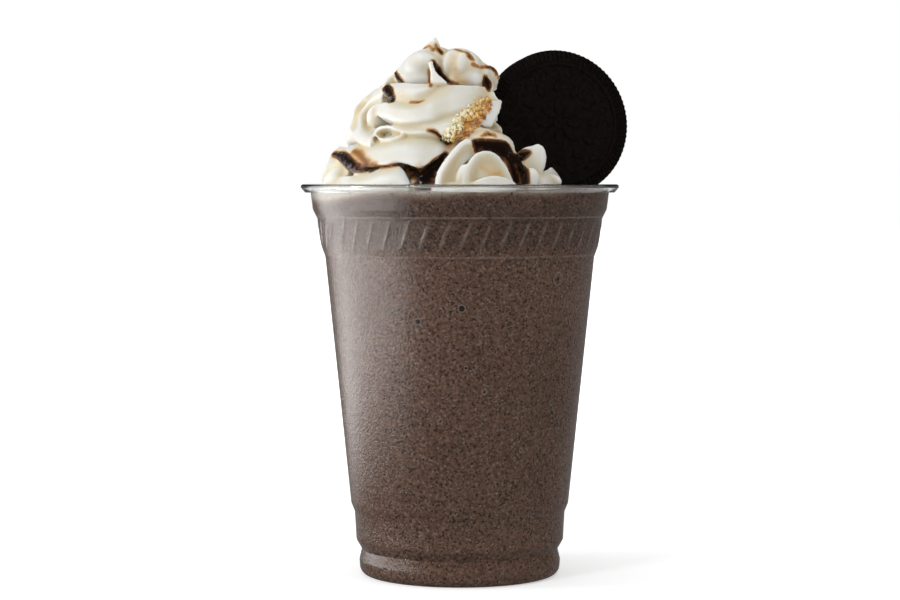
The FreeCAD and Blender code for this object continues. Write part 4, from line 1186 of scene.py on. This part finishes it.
# %% Which points of the cream lie near a run
FILM = 0.85
FILM_SINK = 0.22
HALF_THICK_AT, FULL_SINK_AT = 0.8, 1.4  # widths of a run
STAIN_REACH, STAIN_BLUR = 0.9, 1.2
cream_kd = KDTree(len(points))
for index, point in enumerate(points):
    cream_kd.insert(point, index)
cream_kd.balance()


def near_spots(spots, reach):
    """For each spot, the cream's points within reach of its width, with their distance over the width."""
    for place, normal, width in spots:
        found = cream_kd.find_range(Vector(place), width + reach)
        index = np.array([item[1] for item in found], dtype=int)
        if len(index):
            facing = normals[index] @ normal > -0.15
            yield index[facing], np.array([item[2] for item in found])[facing], width


# %% Height of the film, and strength of the stain, at each point of the cream
film = np.full(len(points), -1.0)
for index, distance, width in near_spots(sauce_spots, 0.0):
    thick = FILM * width / (width + HALF_THICK_AT)
    sink = FILM_SINK * min(1.0, width / FULL_SINK_AT)
    film[index] = np.maximum(film[index], thick * np.sqrt(np.maximum(1 - (distance / width) ** 2, 0)) - sink)
stain = np.zeros(len(points))
for index, distance, width in near_spots(sauce_spots, STAIN_REACH):
    fade = np.clip(1 - (distance - width) / STAIN_REACH, 0, 1) ** 1.6
    stain[index] = np.maximum(stain[index], min(1.0, 0.5 + 0.4 * width) * fade)
for spot, strength in stain_spots:
    for index, distance, width in near_spots([spot], STAIN_BLUR):
        fade = np.clip(1 - distance / (width + STAIN_BLUR), 0, 1) ** 0.7
        stain[index] = np.maximum(stain[index], strength * fade)
set_values(cream, "stain", stain)
print("film covers", int((film > 0).sum()), "of", len(points), "points")


# %% A film laid over the cream
BARE, LOWEST = -0.12, -0.3


def film_over(name, height, top_normals, inside=0.7):
    """A closed film over the faces where the height is near or above nothing."""
    skin = bmesh.new()
    skin.from_mesh(cream.data)
    skin.verts.ensure_lookup_table()
    bare = [face for face in skin.faces if max(height[v.index] for v in face.verts) <= BARE]
    for vertex in skin.verts:
        lift = max(height[vertex.index], LOWEST)
        vertex.co += Vector(top_normals[vertex.index] * lift * MM)
    bmesh.ops.delete(skin, geom=bare, context="FACES")
    mesh = bpy.data.meshes.new(name)
    skin.to_mesh(mesh)
    skin.free()
    made = bpy.data.objects.new(name, mesh)
    bpy.context.scene.collection.objects.link(made)
    wall = made.modifiers.new("wall", "SOLIDIFY")
    wall.thickness = inside * MM
    wall.offset = -1
    apply_modifiers(made)
    made.data.shade_smooth()
    return made


# %% Sauce, levelled as a liquid levels itself
LEVELLING_ROUNDS = 2

flat_film = film.copy()
ends = edges_of(cream)
for _ in range(LEVELLING_ROUNDS):
    total = (np.bincount(ends[:, 0], flat_film[ends[:, 1]], len(points))
             + np.bincount(ends[:, 1], flat_film[ends[:, 0]], len(points)))
    number = np.bincount(ends.ravel(), minlength=len(points))
    flat_film = np.where(film > -1, 0.5 * flat_film + 0.5 * total / np.maximum(number, 1), flat_film)
set_values(cream, "film", np.clip(flat_film / FILM, 0, 1))
sauce = film_over("chocolate_sauce", flat_film, normals)
print("sauce", len(sauce.data.polygons), "faces")

# %% Sauce finish: brown where it is thin, nearly black where it is thick
sauce_finish = Finish("sauce", Roughness=0.07, IOR=1.5, Specular_IOR_Level=0.22)
uneven = sauce_finish.math("MULTIPLY", sauce_finish.noise(240, 3), 0.16)
thick = sauce_finish.math("ADD", sauce_finish.attribute("film"), uneven)
sauce_finish.colour(sauce_finish.ramp(thick, [(0.08, (0.20, 0.075, 0.022)), (0.20, (0.075, 0.026, 0.009)),
                                              (0.34, (0.013, 0.0055, 0.003)), (0.6, (0.005, 0.0028, 0.002))]))
sauce_finish.normal(sauce_finish.bump(sauce_finish.noise(300, 2), 0.0014, 0.7))
dress(sauce, sauce_finish)
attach(sauce, "root")
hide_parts("whipped_cream")

# %% [markdown]
# ## Golden crumbs
# A handful of biscuit crumbs lies on the shelf between the widest ribbon and the pool of sauce.  Geometry
# Nodes strew them, because they are all alike: a small knobbly grain, laid on the cream where a stored
# weight says so, turned and sized at random from a fixed seed.

# %% Where the crumbs lie
CRUMB_SHELF = [(-4.3, 133.6, 1.6), (-2.2, 135.2, 2.8), (0.2, 137.4, 3.8), (2.6, 139.4, 4.2), (5.0, 141.9, 3.8),
               (7.2, 144.2, 2.6), (8.4, 145.8, 1.5)]


def weight_near(spots):
    weight = np.zeros(len(points))
    for index, distance, width in near_spots(spots, 0.0):
        weight[index] = np.maximum(weight[index], 1 - (distance / width) ** 2)
    return weight


shelf_weight = weight_near(list(thrown_from_front(CRUMB_SHELF, cream_tree)))
set_values(cream, "crumb_weight", np.clip(shelf_weight * 1.6, 0, 1))
print("crumbs on", int((shelf_weight > 0).sum()), "points")


# %% A grain
KNOBS_AND_DENTS = 9


def make_grain(name, finish, stretch=(1.0, 0.8, 0.65), seed=1, detail=1):
    """One knobbly grain, a unit across."""
    shape = bmesh.new()
    bmesh.ops.create_icosphere(shape, subdivisions=detail + 1, radius=0.5)
    lumps = np.random.default_rng(seed).normal(size=(KNOBS_AND_DENTS, 3))
    lumps /= np.linalg.norm(lumps, axis=1, keepdims=True)
    for vertex in shape.verts:
        way = np.array(vertex.co.normalized())
        near = [max(0.0, float(way @ lump) - 0.55) for lump in lumps]
        push = 1 + 0.22 * sum(reach * (1.4 if i % 2 else -1.6) for i, reach in enumerate(near))
        vertex.co = Vector(np.array(vertex.co) * push * stretch)
    mesh = bpy.data.meshes.new(name)
    shape.to_mesh(mesh)
    shape.free()
    mesh.shade_smooth()
    mesh.materials.append(finish.material)
    return bpy.data.objects.new(name, mesh)


# %% The node tree that strews grains
FULL_TURN = 6.283
MOSTLY_SMALL = 2.2
APART = 0.7


def strew(name, ground, grain, finish, weight, density, smallest, largest, lift, seed):
    """Geometry Nodes: grains on a ground where the weight says so, realized and kept as a plain mesh."""
    tree = bpy.data.node_groups.new(name, "GeometryNodeTree")
    for label, kind, value in (("Geometry", "NodeSocketGeometry", None),
                               ("Density", "NodeSocketFloat", density),
                               ("Smallest", "NodeSocketFloat", smallest),
                               ("Largest", "NodeSocketFloat", largest),
                               ("Lift", "NodeSocketFloat", lift), ("Seed", "NodeSocketInt", seed)):
        socket = tree.interface.new_socket(label, in_out="INPUT", socket_type=kind)
        if value is not None:
            socket.default_value = value
    tree.interface.new_socket("Geometry", in_out="OUTPUT", socket_type="NodeSocketGeometry")
    new, wire = tree.nodes.new, tree.links.new
    given, result = new("NodeGroupInput"), new("NodeGroupOutput")
    spread = new("GeometryNodeDistributePointsOnFaces")
    spread.distribute_method = "POISSON"
    spread.inputs["Distance Min"].default_value = smallest * APART
    there = new("GeometryNodeInputNamedAttribute")
    there.data_type = "FLOAT"
    there.inputs["Name"].default_value = weight
    lay = new("GeometryNodeInstanceOnPoints")
    shape = new("GeometryNodeObjectInfo")
    shape.inputs["Object"].default_value = grain
    turn = new("FunctionNodeRandomValue")
    turn.data_type = "FLOAT_VECTOR"
    turn.inputs["Max"].default_value = (FULL_TURN,) * 3
    size = new("FunctionNodeRandomValue")
    size.data_type = "FLOAT"
    skew = new("ShaderNodeMath")
    skew.operation = "POWER"
    skew.inputs[1].default_value = MOSTLY_SMALL
    scale = new("ShaderNodeMapRange")
    up = new("ShaderNodeVectorMath")
    up.operation = "SCALE"
    move = new("GeometryNodeSetPosition")
    realize, paint = new("GeometryNodeRealizeInstances"), new("GeometryNodeSetMaterial")
    paint.inputs["Material"].default_value = finish.material
    wire(given.outputs["Geometry"], spread.inputs["Mesh"])
    wire(given.outputs["Density"], spread.inputs["Density Max"])
    wire(there.outputs["Attribute"], spread.inputs["Density Factor"])
    wire(given.outputs["Seed"], spread.inputs["Seed"])
    wire(spread.outputs["Points"], move.inputs["Geometry"])
    wire(spread.outputs["Normal"], up.inputs[0])
    wire(given.outputs["Lift"], up.inputs["Scale"])
    wire(up.outputs["Vector"], move.inputs["Offset"])
    wire(move.outputs["Geometry"], lay.inputs["Points"])
    wire(shape.outputs["Geometry"], lay.inputs["Instance"])
    wire(turn.outputs[0], lay.inputs["Rotation"])
    wire(size.outputs[1], skew.inputs[0])
    wire(skew.outputs[0], scale.inputs["Value"])
    wire(given.outputs["Smallest"], scale.inputs["To Min"])
    wire(given.outputs["Largest"], scale.inputs["To Max"])
    wire(scale.outputs["Result"], lay.inputs["Scale"])
    wire(lay.outputs["Instances"], realize.inputs["Geometry"])
    wire(realize.outputs["Geometry"], paint.inputs["Geometry"])
    wire(paint.outputs["Geometry"], result.inputs["Geometry"])

    copy = bpy.data.objects.new(name, ground.data.copy())
    bpy.context.scene.collection.objects.link(copy)
    copy.modifiers.new(name, "NODES").node_group = tree
    apply_modifiers(copy)
    for attribute in [a.name for a in copy.data.attributes if a.name in (weight, "hollow", "stain")]:
        copy.data.attributes.remove(copy.data.attributes[attribute])
    print(name, len(copy.data.polygons), "faces")
    return copy


# %% Crumb finish: the crumbs are browner on the lower side of the strip and paler on its upper side
STRIP_FOOT_LEFT, STRIP_FOOT_HEIGHT = 3.1, 131.6
OFF_THE_STRIP = (-0.777, 0.629)  # square to the strip, as seen from the front
PALER_PER_METRE = 62.0

crumb_finish = Finish("golden_crumbs", Roughness=0.55, Subsurface_Weight=0.15, Subsurface_Scale=0.001)
across = crumb_finish.math("ADD", crumb_finish.along("X"), STRIP_FOOT_LEFT * MM)
upward = crumb_finish.math("SUBTRACT", crumb_finish.along("Z"), STRIP_FOOT_HEIGHT * MM)
across = crumb_finish.math("MULTIPLY", across, OFF_THE_STRIP[0])
upward = crumb_finish.math("MULTIPLY", upward, OFF_THE_STRIP[1])
paler = crumb_finish.math("MULTIPLY", crumb_finish.math("ADD", across, upward), PALER_PER_METRE)
tone = crumb_finish.ramp(crumb_finish.math("ADD", crumb_finish.noise(420, 3), paler),
                         [(0.26, (0.30, 0.10, 0.018)), (0.42, (0.62, 0.28, 0.055)), (0.54, (0.78, 0.52, 0.19)),
                          (0.66, (0.90, 0.80, 0.56))])
crumb_finish.colour(tone)
crumb_finish.normal(crumb_finish.bump(crumb_finish.noise(2200, 3), 0.0001, 0.6))

# %% Strew the crumbs
crumbs = strew("golden_crumbs", cream, make_grain("crumb_grain", crumb_finish), crumb_finish, "crumb_weight",
               density=3.2e6, smallest=0.5 * MM, largest=1.75 * MM, lift=0.25 * MM, seed=5)
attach(crumbs, "root")
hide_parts("whipped_cream")

# %% [markdown]
# ## Finish of the cream
# Cream scatters light under its skin, so it has subsurface scattering with a warm, short reach.  Its colour
# reads the two values that were stored on the mesh: painted shade makes the hollows darker and yellower and
# the ridges brighter, and the stain takes it from amber to brown beside the sauce.  The stain's edge is
# broken by two noises, because sauce creeps along the fine ridges of the skin.

# %% Cream finish
cream_finish = Finish("whipped_cream", Roughness=0.42, Subsurface_Weight=0.5, Subsurface_Scale=0.004)
cream_finish.shader.inputs["Subsurface Radius"].default_value = (1.0, 0.72, 0.42)
# painted shade: darker and yellower in the hollows, brighter on the ridges
depth = cream_finish.math("ADD", cream_finish.math("MULTIPLY", cream_finish.attribute("hollow"), 0.5), 0.5)
shade = cream_finish.ramp(depth, [(0.22, (0.755, 0.75, 0.715)), (0.38, (0.67, 0.635, 0.53)),
                                  (0.54, (0.65, 0.585, 0.43)), (0.76, (0.61, 0.51, 0.31))])
mottle = cream_finish.ramp(cream_finish.noise(160, 3), [(0.3, 0.955), (0.7, 1.0)])
shade = cream_finish.mix(1.0, shade, mottle, "MULTIPLY")
amber = cream_finish.ramp(cream_finish.attribute("stain"),
                          [(0.0, (0.76, 0.65, 0.43)), (0.40, (0.64, 0.43, 0.20)), (0.70, (0.34, 0.155, 0.05)),
                           (0.95, (0.05, 0.02, 0.009))])
patches = cream_finish.ramp(cream_finish.noise(95, 2), [(0.42, 0.6), (0.58, 1.0)])
patchy = cream_finish.math("MULTIPLY", cream_finish.attribute("stain"), patches)
frayed = cream_finish.math("MULTIPLY", cream_finish.math("SUBTRACT", cream_finish.noise(700, 3), 0.5), 0.35)
ragged = cream_finish.math("ADD", patchy, frayed)
cream_finish.colour(cream_finish.mix(cream_finish.ramp(ragged, [(0.06, 0.0), (0.42, 1.0)]), shade, amber))
fine = cream_finish.bump(cream_finish.noise(1100, 3, 0.6), 0.00012, 0.5)
cream_finish.normal(cream_finish.bump(cream_finish.noise(260, 3, 0.6), 0.0003, 0.35, after=fine))
dress(cream, cream_finish)
cream.data.shade_smooth()
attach(cream, "root")
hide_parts("whipped_cream")

# %% [markdown]
# ## Grains, flecks and bubbles in the drink
# The larger bits lie right against the wall, where they are seen best.  They are strewn on the side of the
# drink by the same node tree as the crumbs, as flat grains that stand out by less than the wall is thick.
# A few air bubbles are listed: a pale ring with a dark middle, which is painted shade in the bubble's hollow.

# %% Weights on the drink's side
SIDE_RADIUS, SIDE_FOOT = 26, 0.8
side = points_of(shake)
on_side = (np.hypot(side[:, 0], side[:, 1]) > SIDE_RADIUS) & (side[:, 2] > SIDE_FOOT)
set_values(shake, "speck_weight", on_side.astype(float))
print(int(on_side.sum()), "points on the side of the drink")

# %% Finishes of the grains and the flecks
black_finish = Finish("wafer_grains", Roughness=0.7, Specular_IOR_Level=0.1)
black_finish.colour(black_finish.ramp(black_finish.noise(500, 2),
                                      [(0.35, (0.008, 0.005, 0.004)), (0.7, (0.030, 0.018, 0.013))]))
pale_finish = Finish("pale_flecks", Roughness=0.6, Specular_IOR_Level=0.1)
pale_finish.colour(pale_finish.ramp(pale_finish.noise(500, 2),
                                    [(0.35, (0.12, 0.088, 0.072)), (0.7, (0.27, 0.22, 0.19))]))

# %% Black grains and pale flecks
BIT_STRETCH = (1.0, 0.85, 0.7)
black_grain = make_grain("wafer_grain", black_finish, BIT_STRETCH, seed=3, detail=0)
pale_fleck = make_grain("pale_fleck", pale_finish, BIT_STRETCH, seed=8, detail=0)
black_grains = strew("wafer_grains", shake, black_grain, black_finish, "speck_weight",
                     density=46000, smallest=0.22 * MM, largest=1.05 * MM, lift=0.0, seed=11)
pale_flecks = strew("pale_flecks", shake, pale_fleck, pale_finish, "speck_weight",
                    density=17000, smallest=0.22 * MM, largest=0.60 * MM, lift=0.0, seed=23)
for bits in (black_grains, pale_flecks):
    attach(bits, "root")
    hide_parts("milkshake")

# %% Flatten the bits against the wall
shake_tree = bvh_of(shake)
STANDS_OUT = 0.16


def press_to_wall(piece):
    """No point of the piece stands further out of the drink than the wall hides."""
    spots = points_of(piece)
    for index, spot in enumerate(spots):
        place, normal, _, _ = shake_tree.find_nearest(Vector(spot))
        height = (Vector(spot) - place).dot(normal)
        if height > STANDS_OUT:
            spots[index] = np.array(Vector(spot) - normal * (height - STANDS_OUT))
    move_points(piece, spots)


for bits in (black_grains, pale_flecks):
    press_to_wall(bits)

# %% A bubble's ring
# across, height, radius, and how much of the ring the dark pit fills
BUBBLES = [(0.6, 81.8, 1.05, 0.88), (-12.9, 77.8, 0.9, 0.82), (1.9, 63.4, 0.55, 0.8), (7.6, 56.0, 0.7, 0.5),
           (30.2, 91.0, 1.9, 0.25), (-17.4, 88.4, 0.8, 0.3), (14.5, 70.5, 0.55, 0.3), (-6.0, 47.0, 0.7, 0.3),
           (18.8, 38.0, 0.6, 0.3), (-22.5, 58.0, 0.6, 0.3)]


def bubble(points, faces, middle, normal, radius, tube, sides=20, ring=8):
    """A ring that lies on the wall round the bubble's middle."""
    across = np.cross(normal, [0, 0, 1.0])
    across /= np.linalg.norm(across)
    up = np.cross(across, normal)
    start = len(points)
    for i in range(sides):
        turn = 2 * math.pi * i / sides
        way = across * math.cos(turn) + up * math.sin(turn)
        for j in range(ring):
            roll = 2 * math.pi * j / ring
            out = way * (radius + tube * math.cos(roll))
            points.append(middle + out + normal * tube * 0.6 * math.sin(roll))
    for i in range(sides):
        for j in range(ring):
            a, b = i * ring + j, i * ring + (j + 1) % ring
            c, d = ((i + 1) % sides) * ring + (j + 1) % ring, ((i + 1) % sides) * ring + j
            faces.append([start + a, start + d, start + c, start + b])


# %% Air bubbles against the wall
ring_points, ring_faces, pit_points, pit_faces = [], [], [], []
for across, height, radius, pit in BUBBLES:
    aim = np.array([across, 0, height]) - EYE
    hit, normal, _, _ = shake_tree.ray_cast(Vector(EYE), Vector(aim / np.linalg.norm(aim)))
    if hit is None:
        continue
    middle, normal = np.array(hit), np.array(normal)
    bubble(ring_points, ring_faces, middle, normal, radius, 0.10 + 0.05 * radius)
    # the dark pit: a disc of painted shade in the bubble's hollow
    bubble(pit_points, pit_faces, middle, normal, radius * pit * 0.5, radius * pit * 0.5 + 0.02, 14, 6)
rings = make_object("bubble_rings", ring_points, ring_faces)
# dark discs of painted shade in the bubbles' hollows
pit_shades = make_object("bubble_pits", pit_points, pit_faces)
ring_finish = Finish("bubble_rings", Roughness=0.4, Specular_IOR_Level=0.2)
ring_finish.colour(ring_finish.ramp(ring_finish.noise(700, 2),
                                    [(0.35, (0.10, 0.072, 0.060)), (0.65, (0.24, 0.19, 0.165))]))
for piece, finish in ((rings, ring_finish), (pit_shades, black_finish)):
    dress(piece, finish)
    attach(piece, "root")
    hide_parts("milkshake")
print(len(BUBBLES), "bubbles")

# %% [markdown]
# ## Floor and light
# A plain white floor runs into a white background with no line between them: far from the cup the floor
# shows its own pale glow to the camera and to glass, and near the cup it keeps the soft shadow.  To mirrors
# it is darker, because a bright floor would lay a grey haze over the dark drink.  No extra light falls on
# the drink from it.
#
# Glossy faces also need something bright to mirror.  The cup leans outwards, so its sides mirror the floor
# as well as the room.  Both of them therefore carry the glow of a broad window at the left, which only
# mirror rays meet.

# %% A window that only mirrors see
WINDOW_WAY = (-1.0, 0.0, 0.0)
WINDOW_STRETCH = (1.0, 1.0, 4.5)
WINDOW_LEVEL = 4.0
WINDOW_EDGE = 0.48


def window_share(tree, way):
    """How far a direction points at the window, from 0 at its edge to 1 in its middle."""
    low, unit, facing = (tree.nodes.new("ShaderNodeVectorMath") for _ in range(3))
    low.operation, unit.operation, facing.operation = "MULTIPLY", "NORMALIZE", "DOT_PRODUCT"
    low.inputs[1].default_value = WINDOW_STRETCH
    facing.inputs[1].default_value = WINDOW_WAY
    soft = tree.nodes.new("ShaderNodeMapRange")
    soft.interpolation_type = "SMOOTHSTEP"
    soft.inputs["From Min"].default_value = WINDOW_EDGE
    tree.links.new(way, low.inputs[0])
    tree.links.new(low.outputs["Vector"], unit.inputs[0])
    tree.links.new(unit.outputs["Vector"], facing.inputs[0])
    tree.links.new(facing.outputs["Value"], soft.inputs["Value"])
    return soft.outputs["Result"]


# %% Floor
FLOOR_COLOUR, FLOOR_COLOUR_IN_MIRRORS = (0.80, 0.80, 0.80), (0.16, 0.16, 0.16)
FLOOR_IN_MIRRORS = 0.05
WINDOW_ON_FLOOR = (0.07, 0.32)
GLOW_ON_FLOOR = (0.06, 0.55)
GLOW_BESIDE_CUP = 0.42

floor_finish = Finish("floor", Roughness=0.95, Specular_IOR_Level=0.1)
floor_finish.shader.inputs["Emission Color"].default_value = (1, 1, 1, 1)
light_path = floor_finish.add("ShaderNodeLightPath")
floor_finish.colour(floor_finish.mix(light_path.outputs["Is Glossy Ray"], FLOOR_COLOUR,
                                     FLOOR_COLOUR_IN_MIRRORS))
seen = floor_finish.math("MAXIMUM", light_path.outputs["Is Camera Ray"],
                         light_path.outputs["Is Transmission Ray"])
away = floor_finish.add("ShaderNodeVectorMath", operation="LENGTH")
floor_finish.link(floor_finish.place, away.inputs[0])


def rising(nearest, farthest, low, high):
    """A value that rises softly with the distance from the cup's axis."""
    return floor_finish.between(away.outputs["Value"], nearest, farthest, low, high, "SMOOTHSTEP")


glow_seen = floor_finish.math("MULTIPLY", seen, rising(*GLOW_ON_FLOOR, GLOW_BESIDE_CUP, 1.0))
share = window_share(floor_finish.material.node_tree, floor_finish.place)
window = floor_finish.math("MULTIPLY", share, rising(*WINDOW_ON_FLOOR, 0.0, WINDOW_LEVEL))
window = floor_finish.math("ADD", window, FLOOR_IN_MIRRORS)
mirrored = floor_finish.math("MULTIPLY", light_path.outputs["Is Glossy Ray"], window)
floor_finish.link(floor_finish.math("MAXIMUM", glow_seen, mirrored),
                  floor_finish.shader.inputs["Emission Strength"])

# %% Lay the floor
bpy.ops.mesh.primitive_circle_add(vertices=96, radius=6, fill_type="NGON", location=(0, 0, 0))
floor = bpy.context.object
floor.name = "floor"
dress(floor, floor_finish)
print("floor", round(floor.dimensions.x, 1), "m across")

# %% World
WORLD_LEVEL = 0.66
WORLD_IN_MIRRORS = 0.07

world = bpy.data.worlds.new("studio")
bpy.context.scene.world = world
world.use_nodes = True
wires = world.node_tree
sky = wires.nodes["Background"]
sky.inputs["Color"].default_value = (1, 1, 1, 1)
path = wires.nodes.new("ShaderNodeLightPath")
way = wires.nodes.new("ShaderNodeTexCoord").outputs["Generated"]
in_mirrors = wires.nodes.new("ShaderNodeMath")
in_mirrors.operation = "MULTIPLY_ADD"
wires.links.new(window_share(wires, way), in_mirrors.inputs[0])
in_mirrors.inputs[1].default_value = WINDOW_LEVEL
in_mirrors.inputs[2].default_value = WORLD_IN_MIRRORS
level = WORLD_LEVEL
for ray, strength in (("Is Glossy Ray", in_mirrors.outputs[0]), ("Is Transmission Ray", 1.0),
                      ("Is Camera Ray", 1.0)):
    choose = wires.nodes.new("ShaderNodeMix")
    wires.links.new(path.outputs[ray], choose.inputs["Factor"])
    for value, socket in ((level, "A"), (strength, "B")):
        if isinstance(value, float):
            choose.inputs[socket].default_value = value
        else:
            wires.links.new(value, choose.inputs[socket])
    level = choose.outputs["Result"]
wires.links.new(level, sky.inputs["Strength"])
print("world at", WORLD_LEVEL)


# %% Lamps
def add_soft_box(name, place, size, radiance, aim=(0, 0, 0.09), mirrored=True):
    """A soft box that faces the drink; its power follows from its size and how bright its face looks."""
    data = bpy.data.lights.new(name, "AREA")
    data.shape = "RECTANGLE"
    data.size, data.size_y = size
    data.energy = radiance * math.pi * size[0] * size[1]
    lamp = bpy.data.objects.new(name, data)
    lamp.location = place
    lamp.rotation_euler = (Vector(aim) - Vector(place)).to_track_quat("-Z", "Y").to_euler()
    bpy.context.scene.collection.objects.link(lamp)
    lamp.visible_glossy = mirrored
    print(name, "power", round(data.energy, 2))
    return lamp


add_soft_box("side_box", (-0.78, -0.06, 0.16), (0.42, 0.75), 3.4, mirrored=False)
add_soft_box("glint_box", (-0.72, -0.12, 0.36), (0.07, 0.07), 42)
add_soft_box("key_box", (-0.55, -0.75, 0.70), (0.19, 0.19), 20)
add_soft_box("top_box", (0.05, 0.05, 0.95), (0.6, 0.6), 0.8, mirrored=False)
add_soft_box("fill_box", (0.85, -0.55, 0.25), (0.35, 0.7), 2.0, mirrored=False)
